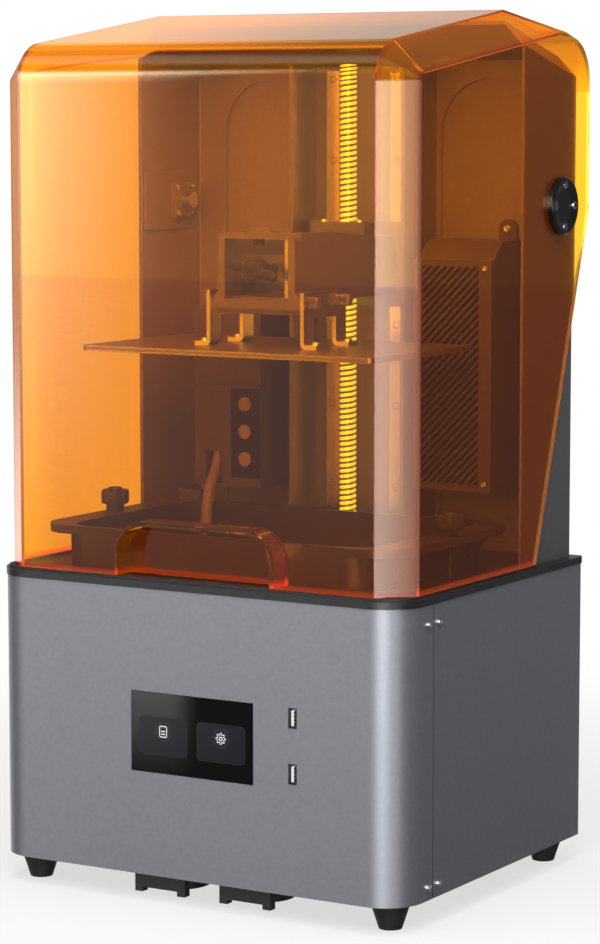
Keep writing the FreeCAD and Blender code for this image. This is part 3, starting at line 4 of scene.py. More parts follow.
import bmesh
import bpy
import numpy as np
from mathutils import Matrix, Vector


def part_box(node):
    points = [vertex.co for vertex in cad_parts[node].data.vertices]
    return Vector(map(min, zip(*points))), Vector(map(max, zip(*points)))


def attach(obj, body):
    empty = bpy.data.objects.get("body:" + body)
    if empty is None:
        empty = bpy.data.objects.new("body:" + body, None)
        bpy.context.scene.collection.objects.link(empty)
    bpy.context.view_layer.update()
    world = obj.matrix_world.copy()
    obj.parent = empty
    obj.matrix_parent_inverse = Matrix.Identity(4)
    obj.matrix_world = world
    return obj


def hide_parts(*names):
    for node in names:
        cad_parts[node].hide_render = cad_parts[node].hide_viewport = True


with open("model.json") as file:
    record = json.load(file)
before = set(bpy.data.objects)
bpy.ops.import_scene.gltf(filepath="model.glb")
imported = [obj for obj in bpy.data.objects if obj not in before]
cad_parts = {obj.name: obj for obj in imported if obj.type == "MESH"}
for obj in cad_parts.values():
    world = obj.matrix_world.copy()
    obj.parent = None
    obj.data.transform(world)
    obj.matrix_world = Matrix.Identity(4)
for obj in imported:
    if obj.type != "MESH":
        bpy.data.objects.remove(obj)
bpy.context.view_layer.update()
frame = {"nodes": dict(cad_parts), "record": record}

# Looks of the desktop resin printer: finishes for its solids, and the small pieces that only show.
# Metres, +Z up, the front faces -Y. MM turns a size in millimetres into metres.
MM = 0.001
SIDES = (-1, 1)
FORWARD = (0, -1, 0)
scene = bpy.context.scene
scene.view_settings.view_transform = "Standard"


def mm(*sizes):
    """Sizes in millimetres as metres."""
    return tuple(size * MM for size in sizes)


# Camera, fitted to the straight edges of the base and lid
CAMERA_PLACE = (1.15478, -1.90995, 0.54430)
CAMERA_AZIMUTH = 31.033
CAMERA_ELEVATION = 6.519
CAMERA_LENS = 119.56


def facing(azimuth, elevation):
    """Unit vector from the printer towards an azimuth and elevation in degrees; azimuth 0 is at -Y."""
    turn = math.radians(azimuth)
    tilt = math.radians(elevation)
    return Vector((math.sin(turn) * math.cos(tilt), -math.cos(turn) * math.cos(tilt), math.sin(tilt)))


def look_back(item, away):
    """Turn a camera or lamp, which looks along its own -Z, back along a direction."""
    item.rotation_euler = (-away).to_track_quat("-Z", "Y").to_euler()
    scene.collection.objects.link(item)


def make_camera():
    """The photograph's viewpoint."""
    data = bpy.data.cameras.new("camera")
    data.lens = CAMERA_LENS
    camera = bpy.data.objects.new("camera", data)
    camera.location = CAMERA_PLACE
    look_back(camera, facing(CAMERA_AZIMUTH, CAMERA_ELEVATION))
    scene.camera = camera


# Studio
LIGHT_AIM = Vector((0, 0, 0.3))

# Lamps: name, azimuth, elevation, distance, width, height and level
SOFTBOXES = [
    ("front_right", 26, 38, 1.4, 0.7, 0.9, 0.42),
    ("front_left", -40, 38, 3.0, 1.6, 1.6, 0.10),
    ("right", 78, 36, 0.85, 0.4, 0.4, 0.16),
    ("overhead", 10, 84, 2.6, 1.6, 1.6, 0.45),
]

# Soft-edged cards that gloss mirrors: azimuth from, to and soft edge, elevation from, to and soft edge, level
CARDS = [
    (-190, -95, 14, -40, 38, 14, 0.15),
    (-190, -95, 14, -40, -3, 5, 1.0),
    (-175, -120, 14, 4, 26, 6, 0.27),
    (-47, -33.2, 5, -9, 30, 10, 9.0),
    (-41, 2, 6, -11, 30, 5, 0.52),
    (-42, -32.9, 0.6, -12.3, -8.2, 2.2, 1.8),
    (-85, 85, 8, 38, 60, 8, 1.1),
    (0, 42, 13, -12, 40, 12, 12.5),
    (54, 61.6, 1.6, -16, 14, 1.6, 8.0),
]
ROOM_LEVEL = 0.11
AMBIENT_LEVEL = 0.13

# The paper's span, its own light and shade near the printer, the light it bounces, and where its middle ends
FLOOR_SPAN = 14.0
FLOOR_GLOW = 0.68
FLOOR_SHADE = 0.32
FLOOR_BOUNCE = 0.06
FLOOR_NEAR = 0.35
FLOOR_FAR = 0.95


def softbox(name, azimuth, elevation, distance, width, height, level):
    """Rectangular lamp aimed at the printer; level is the share of plain white on a surface facing it."""
    data = bpy.data.lights.new(name, "AREA")
    data.shape = "RECTANGLE"
    data.size = width
    data.size_y = height
    data.energy = level * math.pi ** 2 * distance ** 2
    lamp = bpy.data.objects.new(name, data)
    away = facing(azimuth, elevation)
    lamp.location = LIGHT_AIM + away * distance
    lamp.visible_glossy = False
    look_back(lamp, away)


def card_mask(tree, angle, start, stop, soft):
    """1 between two angles in degrees, fading to 0 at both over a soft edge."""
    rise = fade(tree, angle, math.radians(start), math.radians(start + soft))
    fall = ebb(tree, angle, math.radians(stop - soft), math.radians(stop))
    return calc(tree, "MULTIPLY", rise, fall)


def bounces(tree):
    """Two masks that are 1 once a ray has been mirrored, and once it has been scattered."""
    path = tree.nodes.new("ShaderNodeLightPath").outputs
    return [calc(tree, "GREATER_THAN", path[kind], 0.5) for kind in ("Glossy Depth", "Diffuse Depth")]


def make_room():
    """White for what is seen straight or through glass, cards for gloss and a plain level for the rest."""
    world = bpy.data.worlds.new("white_room")
    world.use_nodes = True
    scene.world = world
    tree = world.node_tree
    way = tree.nodes.new("ShaderNodeTexCoord").outputs["Generated"]
    axes = add(tree, "SeparateXYZ", Vector=way).outputs
    azimuth = calc(tree, "ARCTAN2", axes["X"], calc(tree, "MULTIPLY", axes["Y"], -1.0))
    elevation = calc(tree, "ARCSINE", axes["Z"])
    mirrored_level = ROOM_LEVEL
    for start, stop, side_soft, low, high, end_soft, level in CARDS:
        across = card_mask(tree, azimuth, start, stop, side_soft)
        upright = card_mask(tree, elevation, low, high, end_soft)
        card = calc(tree, "MULTIPLY", across, upright)
        mirrored_level = calc(tree, "MULTIPLY_ADD", card, level, mirrored_level)
    mirrored, scattered = bounces(tree)
    seen = add(tree, "Mix", Factor=mirrored, A=1.0, B=mirrored_level).outputs["Result"]
    level = add(tree, "Mix", Factor=scattered, A=seen, B=AMBIENT_LEVEL).outputs["Result"]
    feed_all(tree, tree.nodes["Background"], Color=(1.0, 1.0, 1.0), Strength=level)


def make_floor():
    """White paper that keeps the soft shadow near the printer and is plain white further out."""
    floor = new_mesh("floor", [sheet_patch(FLOOR_SPAN, FLOOR_SPAN)])
    floor.visible_glossy = False
    paper = bpy.data.materials.new("paper_white")
    paper.use_nodes = True
    tree = paper.node_tree
    tree.nodes.remove(tree.nodes["Principled BSDF"])
    place = tree.nodes.new("ShaderNodeTexCoord").outputs["Object"]
    reach = tree.nodes.new("ShaderNodeVectorMath")
    reach.operation = "LENGTH"
    tree.links.new(place, reach.inputs[0])
    far = fade(tree, reach.outputs["Value"], FLOOR_NEAR, FLOOR_FAR)
    mirrored, scattered = bounces(tree)
    seen = calc(tree, "SUBTRACT", 1.0, calc(tree, "MAXIMUM", scattered, mirrored))
    near_shade = calc(tree, "MULTIPLY", calc(tree, "SUBTRACT", 1.0, far), FLOOR_SHADE)
    shade = add(tree, "Mix", Factor=scattered, A=near_shade, B=FLOOR_BOUNCE).outputs["Result"]
    glow = calc(tree, "MULTIPLY_ADD", far, 1.0 - FLOOR_GLOW, FLOOR_GLOW)
    matt = add(tree, "BsdfDiffuse", Color=shade)
    light = add(tree, "Emission", Strength=calc(tree, "MULTIPLY", glow, seen))
    both = tree.nodes.new("ShaderNodeAddShader")
    tree.links.new(matt.outputs[0], both.inputs[0])
    tree.links.new(light.outputs[0], both.inputs[1])
    tree.links.new(both.outputs[0], tree.nodes["Material Output"].inputs["Surface"])
    floor.data.materials.append(paper)


def make_studio():
    """Room, floor and lamps."""
    make_room()
    make_floor()
    for values in SOFTBOXES:
        softbox(*values)


# Meshes: a patch is a pair of arrays, points (n, 3) and quads (m, 4)
MERGE = 1e-7


def grid_quads(rows, columns, wrap=False):
    """Quads of a rows by columns grid of points, stored row after row; wrap joins last column to first."""
    row = np.arange(rows - 1)[:, None] * columns
    column = np.arange(columns if wrap else columns - 1)[None, :]
    after = (column + 1) % columns
    quads = np.stack([row + column, row + after, row + columns + after, row + columns + column], axis=-1)
    return quads.reshape(-1, 4)


def sheet_patch(width, depth):
    """Flat rectangle on z = 0 about the origin, as a 2 by 2 grid."""
    x, y = np.meshgrid([-width / 2, width / 2], [-depth / 2, depth / 2])
    return np.stack([x, y, np.zeros_like(x)], axis=-1).reshape(-1, 3), grid_quads(2, 2)


def new_mesh(name, patches):
    """One mesh object from several patches; equal points are merged, which closes seams and poles."""
    points = []
    quads = []
    start = 0
    for patch_points, patch_quads in patches:
        points.append(patch_points)
        quads.append(patch_quads + start)
        start += len(patch_points)
    mesh = bpy.data.meshes.new(name)
    mesh.from_pydata(np.concatenate(points).tolist(), [], np.concatenate(quads).tolist())
    shape = bmesh.new()
    shape.from_mesh(mesh)
    bmesh.ops.remove_doubles(shape, verts=shape.verts, dist=MERGE)
    bmesh.ops.dissolve_degenerate(shape, edges=shape.edges, dist=MERGE)
    bmesh.ops.recalc_face_normals(shape, faces=shape.faces)
    shape.to_mesh(mesh)
    shape.free()
    item = bpy.data.objects.new(name, mesh)
    scene.collection.objects.link(item)
    return item


def piece(name, patches, finish, body, stands_for=(), smooth=30):
    """A piece of the printer that rides on a body; edges sharper than smooth degrees stay crisp."""
    item = new_mesh(name, patches)
    item.data.materials.append(FINISH[finish])
    item.data.shade_smooth()
    item.data.set_sharp_from_angle(angle=math.radians(smooth))
    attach(item, body)
    if stands_for:
        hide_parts(*stands_for)


def round_angles(steps):
    """Evenly spaced angles of one whole turn."""
    return np.linspace(0, 2 * math.pi, steps, endpoint=False)


def round_ways(angle):
    """Unit steps (cos a, sin a) towards each angle."""
    return np.stack([np.cos(angle), np.sin(angle)], axis=-1)


def spun(radius, height):
    """Surface round the Z axis from grids of radius and height: x = r cos a, y = r sin a, z = h."""
    rows, steps = radius.shape
    angle = round_angles(steps)
    height = np.broadcast_to(height, radius.shape)
    points = np.stack([radius * np.cos(angle), radius * np.sin(angle), height], axis=-1)
    return points.reshape(-1, 3), grid_quads(rows, steps, wrap=True)


def turned(profile, steps=32):
    """Profile of (radius, height) rows carried round the Z axis."""
    profile = np.asarray(profile, float)
    return spun(np.repeat(profile[:, :1], steps, axis=1), profile[:, 1:])


def rounded_ring(width, depth, radius, steps=5):
    """Outline of a rounded rectangle: each quarter turn of angles a is its corner + radius (cos a, sin a)."""
    quarter = np.linspace(0, math.pi / 2, steps)
    angle = (quarter + np.arange(4)[:, None] * math.pi / 2).reshape(-1)
    signs = np.repeat([(1, 1), (-1, 1), (-1, -1), (1, -1)], steps, axis=0)
    corner = signs * (width / 2 - radius, depth / 2 - radius)
    return corner + radius * round_ways(angle)


def carried(rings, heights):
    """Outlines of equal length carried up Z and joined row by row: (x, y) of ring k at height k."""
    flat = np.stack(rings)
    rows, steps = flat.shape[:2]
    tall = np.broadcast_to(np.asarray(heights, float)[:, None, None], (rows, steps, 1))
    return np.concatenate([flat, tall], axis=-1).reshape(-1, 3), grid_quads(rows, steps, wrap=True)


def slab(width, depth, height, radius=0.0):
    """Rounded rectangle carried up Z from 0, with both ends closed at the middle."""
    ring = rounded_ring(width, depth, radius)
    return carried([0 * ring, ring, ring, 0 * ring], [0, 0, height, height])


def band(outer, inner, height):
    """Flat ring between two outlines, raised by height and closed all round."""
    return carried([outer, outer, inner, inner, outer], [0, height, height, 0, 0])


def holed_square(side, radius, height):
    """Square plate with a round hole, open below; its outer ring is side / 2 over max(|cos a|, |sin a|)."""
    way = round_ways(round_angles(32))
    hole = way * radius
    square = way * side / 2 / np.abs(way).max(axis=-1, keepdims=True)
    return carried([hole, hole, square, square], [0, height, height, 0])


def put(patch, place, way=(0, 0, 1)):
    """Turn a patch so that its own Z runs along a direction, then move it to a place."""
    points, quads = patch
    turn = np.array(Vector((0, 0, 1)).rotation_difference(Vector(way)).to_matrix())
    return points @ turn.T + np.asarray(place, float), quads


# Shader nodes
FLOAT = "NodeSocketFloat"
VECTOR = "NodeSocketVector"
COLOUR = "NodeSocketColor"


def feed(tree, socket, value):
    """Link a socket to an input or set its value; a colour of three numbers is made opaque."""
    if isinstance(value, bpy.types.NodeSocket):
        tree.links.new(value, socket)
    elif socket.type == "RGBA":
        socket.default_value = (*value, 1.0)
    else:
        socket.default_value = value


def feed_all(tree, item, **inputs):
    """Feed a node's inputs by name; _ stands for a space."""
    for name, value in inputs.items():
        feed(tree, item.inputs[name.replace("_", " ")], value)


def add(tree, kind, **inputs):
    """New shader node with its inputs fed."""
    item = tree.nodes.new("ShaderNode" + kind)
    feed_all(tree, item, **inputs)
    return item


def calc(tree, operation, *values):
    """Math node on values or sockets."""
    item = tree.nodes.new("ShaderNodeMath")
    item.operation = operation
    for socket, value in zip(item.inputs, values):
        feed(tree, socket, value)
    return item.outputs[0]


def fade(tree, value, low, high, at_low=0.0, at_high=1.0):
    """Smooth step from at_low to at_high while a value runs from low to high."""
    item = add(tree, "MapRange", Value=value, From_Min=low, From_Max=high, To_Min=at_low, To_Max=at_high)
    item.interpolation_type = "SMOOTHSTEP"
    return item.outputs["Result"]


def ebb(tree, value, low, high):
    """1 up to low, falling smoothly to 0 at high."""
    return fade(tree, value, low, high, 1.0, 0.0)


def tint(tree, share, first, second):
    """Colour between two colours."""
    item = tree.nodes.new("ShaderNodeMix")
    item.data_type = "RGBA"
    feed(tree, item.inputs[0], share)
    feed(tree, item.inputs[6], first)
    feed(tree, item.inputs[7], second)
    return item.outputs[2]


def new_group(name, inputs, outputs):
    """Empty shader node group with its sockets, and its inner in and out nodes."""
    group = bpy.data.node_groups.new(name, "ShaderNodeTree")
    for label, kind in inputs:
        group.interface.new_socket(label, in_out="INPUT", socket_type=kind)
    for label, kind in outputs:
        group.interface.new_socket(label, in_out="OUTPUT", socket_type=kind)
    return group, group.nodes.new("NodeGroupInput").outputs, group.nodes.new("NodeGroupOutput").inputs


def make_speckle_group():
    """Fine grain of paint and blasted metal: two noises, one grain wide and one four grains wide."""
    group, given, out = new_group(
        "speckle",
        [("Place", VECTOR), ("Grains", FLOAT), ("Colour", COLOUR), ("Contrast", FLOAT)],
        [("Colour", COLOUR), ("Height", FLOAT)],
    )
    fine = add(group, "TexNoise", Vector=given["Place"], Scale=given["Grains"], Detail=2.0)
    coarse_scale = calc(group, "MULTIPLY", given["Grains"], 0.25)
    coarse = add(group, "TexNoise", Vector=given["Place"], Scale=coarse_scale, Detail=1.0)
    both = calc(group, "ADD", fine.outputs[0], coarse.outputs[0])
    centred = calc(group, "SUBTRACT", both, 1.0)
    swing = calc(group, "MULTIPLY", centred, given["Contrast"])
    gain = calc(group, "ADD", swing, 1.0)
    scaled = group.nodes.new("ShaderNodeVectorMath")
    scaled.operation = "SCALE"
    group.links.new(given["Colour"], scaled.inputs[0])
    group.links.new(gain, scaled.inputs["Scale"])
    group.links.new(scaled.outputs[0], out["Colour"])
    group.links.new(both, out["Height"])
    return group


def make_handling_group():
    """Uneven gloss from handling: slow clouds of noise that raise and lower the roughness."""
    group, given, out = new_group(
        "handling",
        [("Place", VECTOR), ("Roughness", FLOAT), ("Swing", FLOAT)],
        [("Roughness", FLOAT)],
    )
    clouds = add(group, "TexNoise", Vector=given["Place"], Scale=14.0, Detail=4.0, Roughness=0.6)
    centred = calc(group, "SUBTRACT", clouds.outputs[0], 0.5)
    swing = calc(group, "MULTIPLY", centred, given["Swing"])
    group.links.new(calc(group, "ADD", swing, given["Roughness"]), out["Roughness"])
    return group


SPECKLE = make_speckle_group()
HANDLING = make_handling_group()


def use_group(tree, group, **inputs):
    """Place a shared group in a material with its own values."""
    item = tree.nodes.new("ShaderNodeGroup")
    item.node_tree = group
    feed_all(tree, item, **inputs)
    return item.outputs


def new_finish(name):
    """Material with its Principled shader and its Object coordinates."""
    finish = bpy.data.materials.new(name)
    finish.use_nodes = True
    tree = finish.node_tree
    return finish, tree, tree.nodes["Principled BSDF"], tree.nodes.new("ShaderNodeTexCoord").outputs["Object"]


def uneven_gloss(tree, place, roughness, swing):
    """Roughness that varies by a swing."""
    return use_group(tree, HANDLING, Place=place, Roughness=roughness, Swing=swing)["Roughness"]


def grained(name, colour, grains, contrast, roughness, swing, metallic, relief, stretch=None, bump=0.25):
    """Surface with a grain in colour and relief, and uneven gloss; grains a metre, relief in millimetres."""
    finish, tree, shader, place = new_finish(name)
    laid = place
    if stretch:
        laid = add(tree, "Mapping", Vector=place, Scale=stretch).outputs[0]
    grain = use_group(tree, SPECKLE, Place=laid, Grains=grains, Colour=colour, Contrast=contrast)
    gloss = uneven_gloss(tree, place, roughness, swing)
    rough = add(tree, "Bump", Height=grain["Height"], Strength=bump, Distance=relief * MM)
    feed_all(tree, shader, Base_Color=grain["Colour"], Roughness=gloss, Metallic=metallic)
    feed_all(tree, shader, Normal=rough.outputs[0])
    return finish


def brushed(name, colour, stretch, contrast, roughness, metallic):
    """Metal with drawn lines: the grain is stretched, so stretch is small along the lines (x, y, z)."""
    return grained(
        name, colour, grains=2400.0, contrast=contrast, roughness=roughness, swing=0.1, metallic=metallic,
        relief=0.01, stretch=stretch, bump=0.2,
    )


# Lead screw: its axis, thread and plain journal (foot and radius), then where its crests carry a painted
# highlight and its grooves painted shade, and the colours and painted glow of both
SCREW_Y = 79.15 * MM
SCREW_ROOT = 4.3 * MM
SCREW_CREST = 6.25 * MM
SCREW_PITCH = 4.0 * MM
SCREW_THREAD = mm(252.0, 584.0)
SCREW_JOURNAL = mm(196.0, 4.0)
SCREW_ROWS_A_TURN = 10
SCREW_STEPS = 28
SCREW_WAVE = (1.5, 0.25)
SCREW_PAINTED_LIGHT_SPAN = (SCREW_ROOT + 0.3 * MM, SCREW_CREST - 0.6 * MM)
GROOVE_STEEL_PAINTED_SHADE = (0.30, 0.30, 0.29)
CREST_STEEL_PAINTED_HIGHLIGHT = (0.92, 0.92, 0.90)
GROOVE_PAINTED_GLOW = (0.05, 0.048, 0.04)
CREST_PAINTED_GLOW = (0.98, 0.98, 0.70)

# Tower faces (side and back) that part its outer paint from its inner faces, coloured lighter as painted
# light; grain as in GRAINED below
TOWER_FACES = mm(158.8, 124.4)
TOWER_OUTSIDE = (0.16, 0.162, 0.17)
TOWER_INSIDE_PAINTED_LIGHT = (0.37, 0.37, 0.38)
TOWER_GRAIN = (1700.0, 0.18, 0.48, 0.1, 0.3, 0.02)

# Lid lines that its tint, its painted light and its painted shade follow
LID_LOW, LID_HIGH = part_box("lid_shell")
LID_SLANT = 22 * MM
LID_TOP_FRONT = 589.7 * MM
LID_RIDGE = mm(45.15, 616)
LID_FOOT_BACK = 58.65 * MM
LID_NOTCH = 474 * MM

# Distances over which each share of the lid ends
SLANT_LINE = mm(0.3, 1.1)
SLANT_SOFT = 0.5 * MM
RIM_LINE = mm(1.5, 4.5)
REAR_LINE = mm(3.2, 4.6)
REAR_LINE_TOP = 40 * MM
FRONT_SKIN = mm(4, 6)
LEFT_BAND = mm(12, 62)
ROOF_SKIN = mm(3.2, 4.0)
ROOF_RIGHT = 0.1
BACK_BAND = mm(112, 122)
BACK_TOP = 30 * MM

# Tints of the acrylic, with painted deeper red lines along its edges and a painted dark band at its rear
# edge, of the lamps' light through it, and painted light that its edges and faces give off
AMBER = (1.0, 0.56, 0.035)
AMBER_PAINTED_EDGE_LINE = (1.0, 0.20, 0.015)
AMBER_PAINTED_REAR_SHADE = (0.05, 0.012, 0.002)
AMBER_SHADOW = (1.0, 0.48, 0.07)
PAINTED_LIGHT_ALL_OVER = (0.015, 0.003, 0.0006)
PAINTED_LIGHT_LEFT = (0.11, 0.07, 0.004)
PAINTED_LIGHT_SLANT = (0.10, 0.03, 0.004)
PAINTED_LIGHT_EDGE = (0.12, 0.018, 0.003)
PAINTED_LIGHT_REAR_EDGE = (0.14, 0.04, 0.008)
PAINTED_LIGHT_ROOF = (0.34, 0.12, 0.012)
PAINTED_LIGHT_BACK = (0.17, 0.11, 0.0)


def lid_shares(tree, place):
    """Masks of the lid's edges and faces, by name, from Object coordinates; they place the lid's painted
    light and shade.

    With d the depth behind the front or top face and e the depth from the side face, |max(d, e) - slant| is
    the distance from a slant's edge. The rear edge runs in a line from the foot to the notch.
    """
    axes = add(tree, "SeparateXYZ", Vector=place).outputs
    behind_front = calc(tree, "SUBTRACT", axes["Y"], LID_LOW.y)
    rise = (LID_RIDGE[1] - LID_TOP_FRONT) / (LID_RIDGE[0] - LID_LOW.y)
    roof = calc(tree, "MULTIPLY_ADD", behind_front, rise, LID_TOP_FRONT)
    below_roof = calc(tree, "SUBTRACT", roof, axes["Z"])
    from_side = calc(tree, "SUBTRACT", LID_HIGH.x, calc(tree, "ABSOLUTE", axes["X"]))
    deeper = calc(tree, "MAXIMUM", calc(tree, "MINIMUM", behind_front, below_roof), from_side)
    off_edge = calc(tree, "ABSOLUTE", calc(tree, "SUBTRACT", deeper, LID_SLANT))
    over_rim = calc(tree, "SUBTRACT", axes["Z"], LID_LOW.z)
    edge = calc(tree, "MAXIMUM", ebb(tree, off_edge, *SLANT_LINE), ebb(tree, over_rim, *RIM_LINE))
    lean = (LID_HIGH.y - LID_FOOT_BACK) / (LID_NOTCH - LID_LOW.z)
    rear_line = calc(tree, "MULTIPLY_ADD", over_rim, lean, LID_FOOT_BACK)
    rear_line = calc(tree, "MINIMUM", rear_line, LID_HIGH.y)
    before_rear = calc(tree, "SUBTRACT", rear_line, axes["Y"])
    under_notch = ebb(tree, axes["Z"], LID_NOTCH - REAR_LINE_TOP, LID_NOTCH)
    near_left = ebb(tree, axes["X"], LID_LOW.x + LEFT_BAND[0], LID_LOW.x + LEFT_BAND[1])
    leftward = fade(tree, axes["X"], -LID_HIGH.x, LID_HIGH.x, 1.0, ROOF_RIGHT)
    under_top = ebb(tree, axes["Z"], LID_TOP_FRONT - BACK_TOP, LID_TOP_FRONT)
    return {
        "edge": edge,
        "slant": ebb(tree, deeper, LID_SLANT - SLANT_SOFT, LID_SLANT),
        "rear": calc(tree, "MULTIPLY", ebb(tree, before_rear, *REAR_LINE), under_notch),
        "left": calc(tree, "MULTIPLY", ebb(tree, behind_front, *FRONT_SKIN), near_left),
        "roof": calc(tree, "MULTIPLY", ebb(tree, below_roof, *ROOF_SKIN), leftward),
        "back": calc(tree, "MULTIPLY", fade(tree, axes["Y"], *BACK_BAND), under_top),
    }


def amber_acrylic():
    """Clear amber acrylic: a tinted glass that lets the lamps through, with painted red lines along the
    moulding's edges, a painted dark band at its rear edge and painted light given off by its faces.
    """
    finish, tree, shader, place = new_finish("amber_acrylic")
    share = lid_shares(tree, place)
    # Painted light and shade in the tint: deeper red lines along the edges and a near-black band along the
    # rear edge.
    colour = tint(tree, share["rear"], tint(tree, share["edge"], AMBER, AMBER_PAINTED_EDGE_LINE), AMBER_PAINTED_REAR_SHADE)
    # Emission that paints light onto the lid: faint all over, stronger on the left, the slant, the edges, the
    # rear edge, the roof and the back.
    glow = tint(tree, share["left"], PAINTED_LIGHT_ALL_OVER, PAINTED_LIGHT_LEFT)
    glow = tint(tree, share["slant"], glow, PAINTED_LIGHT_SLANT)
    glow = tint(tree, share["edge"], glow, PAINTED_LIGHT_EDGE)
    glow = tint(tree, share["rear"], glow, PAINTED_LIGHT_REAR_EDGE)
    glow = tint(tree, share["roof"], glow, PAINTED_LIGHT_ROOF)
    glow = tint(tree, share["back"], glow, PAINTED_LIGHT_BACK)
    gloss = uneven_gloss(tree, place, roughness=0.008, swing=0.01)
    feed_all(tree, shader, Base_Color=colour, Emission_Color=glow, Emission_Strength=1.0, Roughness=gloss)
    feed_all(tree, shader, Transmission_Weight=1.0, IOR=1.49)
    path = tree.nodes.new("ShaderNodeLightPath")
    clear = add(tree, "BsdfTransparent", Color=AMBER_SHADOW)
    lamps_pass = tree.nodes.new("ShaderNodeMixShader")
    tree.links.new(path.outputs["Is Shadow Ray"], lamps_pass.inputs[0])
    tree.links.new(shader.outputs[0], lamps_pass.inputs[1])
    tree.links.new(clear.outputs[0], lamps_pass.inputs[2])
    tree.links.new(lamps_pass.outputs[0], tree.nodes["Material Output"].inputs["Surface"])
    return finish


def tower_paint_lit_inside():
    """Satin grey with painted light: lighter on the tower's inner faces, which Object coordinates tell from
    the outer.
    """
    finish = grained("tower_paint_lit_inside", TOWER_OUTSIDE, *TOWER_GRAIN)
    tree = finish.node_tree
    place = tree.nodes["Texture Coordinate"].outputs["Object"]
    axes = add(tree, "SeparateXYZ", Vector=place).outputs
    side = calc(tree, "GREATER_THAN", calc(tree, "ABSOLUTE", axes["X"]), TOWER_FACES[0])
    back = calc(tree, "GREATER_THAN", axes["Y"], TOWER_FACES[1])
    outside = calc(tree, "MAXIMUM", side, back)
    # Painted light: the inner faces take the lighter grey.
    feed_all(tree, tree.nodes["Group"], Colour=tint(tree, outside, TOWER_INSIDE_PAINTED_LIGHT, TOWER_OUTSIDE))
    return finish


def thread_steel():
    """Bright steel with a painted highlight and glow on the thread's crests and painted shade in its grooves,
    by the distance from the axis.
    """
    finish, tree, shader, place = new_finish("thread_steel")
    axes = add(tree, "SeparateXYZ", Vector=place).outputs
    depth = calc(tree, "SUBTRACT", axes["Y"], SCREW_Y)
    square = calc(tree, "MULTIPLY_ADD", depth, depth, calc(tree, "MULTIPLY", axes["X"], axes["X"]))
    crest = fade(tree, calc(tree, "SQRT", square), *SCREW_PAINTED_LIGHT_SPAN)
    # Painted highlight on the crests and painted shade in the grooves, in colour and in emission.
    colour = tint(tree, crest, GROOVE_STEEL_PAINTED_SHADE, CREST_STEEL_PAINTED_HIGHLIGHT)
    glow = tint(tree, crest, GROOVE_PAINTED_GLOW, CREST_PAINTED_GLOW)
    gloss = uneven_gloss(tree, place, roughness=0.22, swing=0.05)
    feed_all(tree, shader, Base_Color=colour, Emission_Color=glow, Emission_Strength=1.0)
    feed_all(tree, shader, Roughness=gloss, Metallic=1.0)
    return finish


def clear_film():
    """Thin clear film under the vat, a little wavy."""
    finish, tree, shader, place = new_finish("clear_film")
    gloss = uneven_gloss(tree, place, roughness=0.12, swing=0.1)
    feed_all(tree, shader, Base_Color=(0.85, 0.87, 0.88), Roughness=gloss, Transmission_Weight=1.0, IOR=1.35)
    return finish


# White of the screen's icons: colour, grain (as in GRAINED below) and light
ICON_WHITE = (0.82, 0.82, 0.82)
ICON_GRAIN = (900.0, 0.02, 0.3, 0.02, 0.0, 0.0)
ICON_LIGHT = 0.45


def screen_light():
    """White of a lit screen."""
    finish = grained("screen_icon", ICON_WHITE, *ICON_GRAIN)
    tree = finish.node_tree
    shader = tree.nodes["Principled BSDF"]
    feed_all(tree, shader, Emission_Color=(1.0, 1.0, 1.0), Emission_Strength=ICON_LIGHT)
    return finish


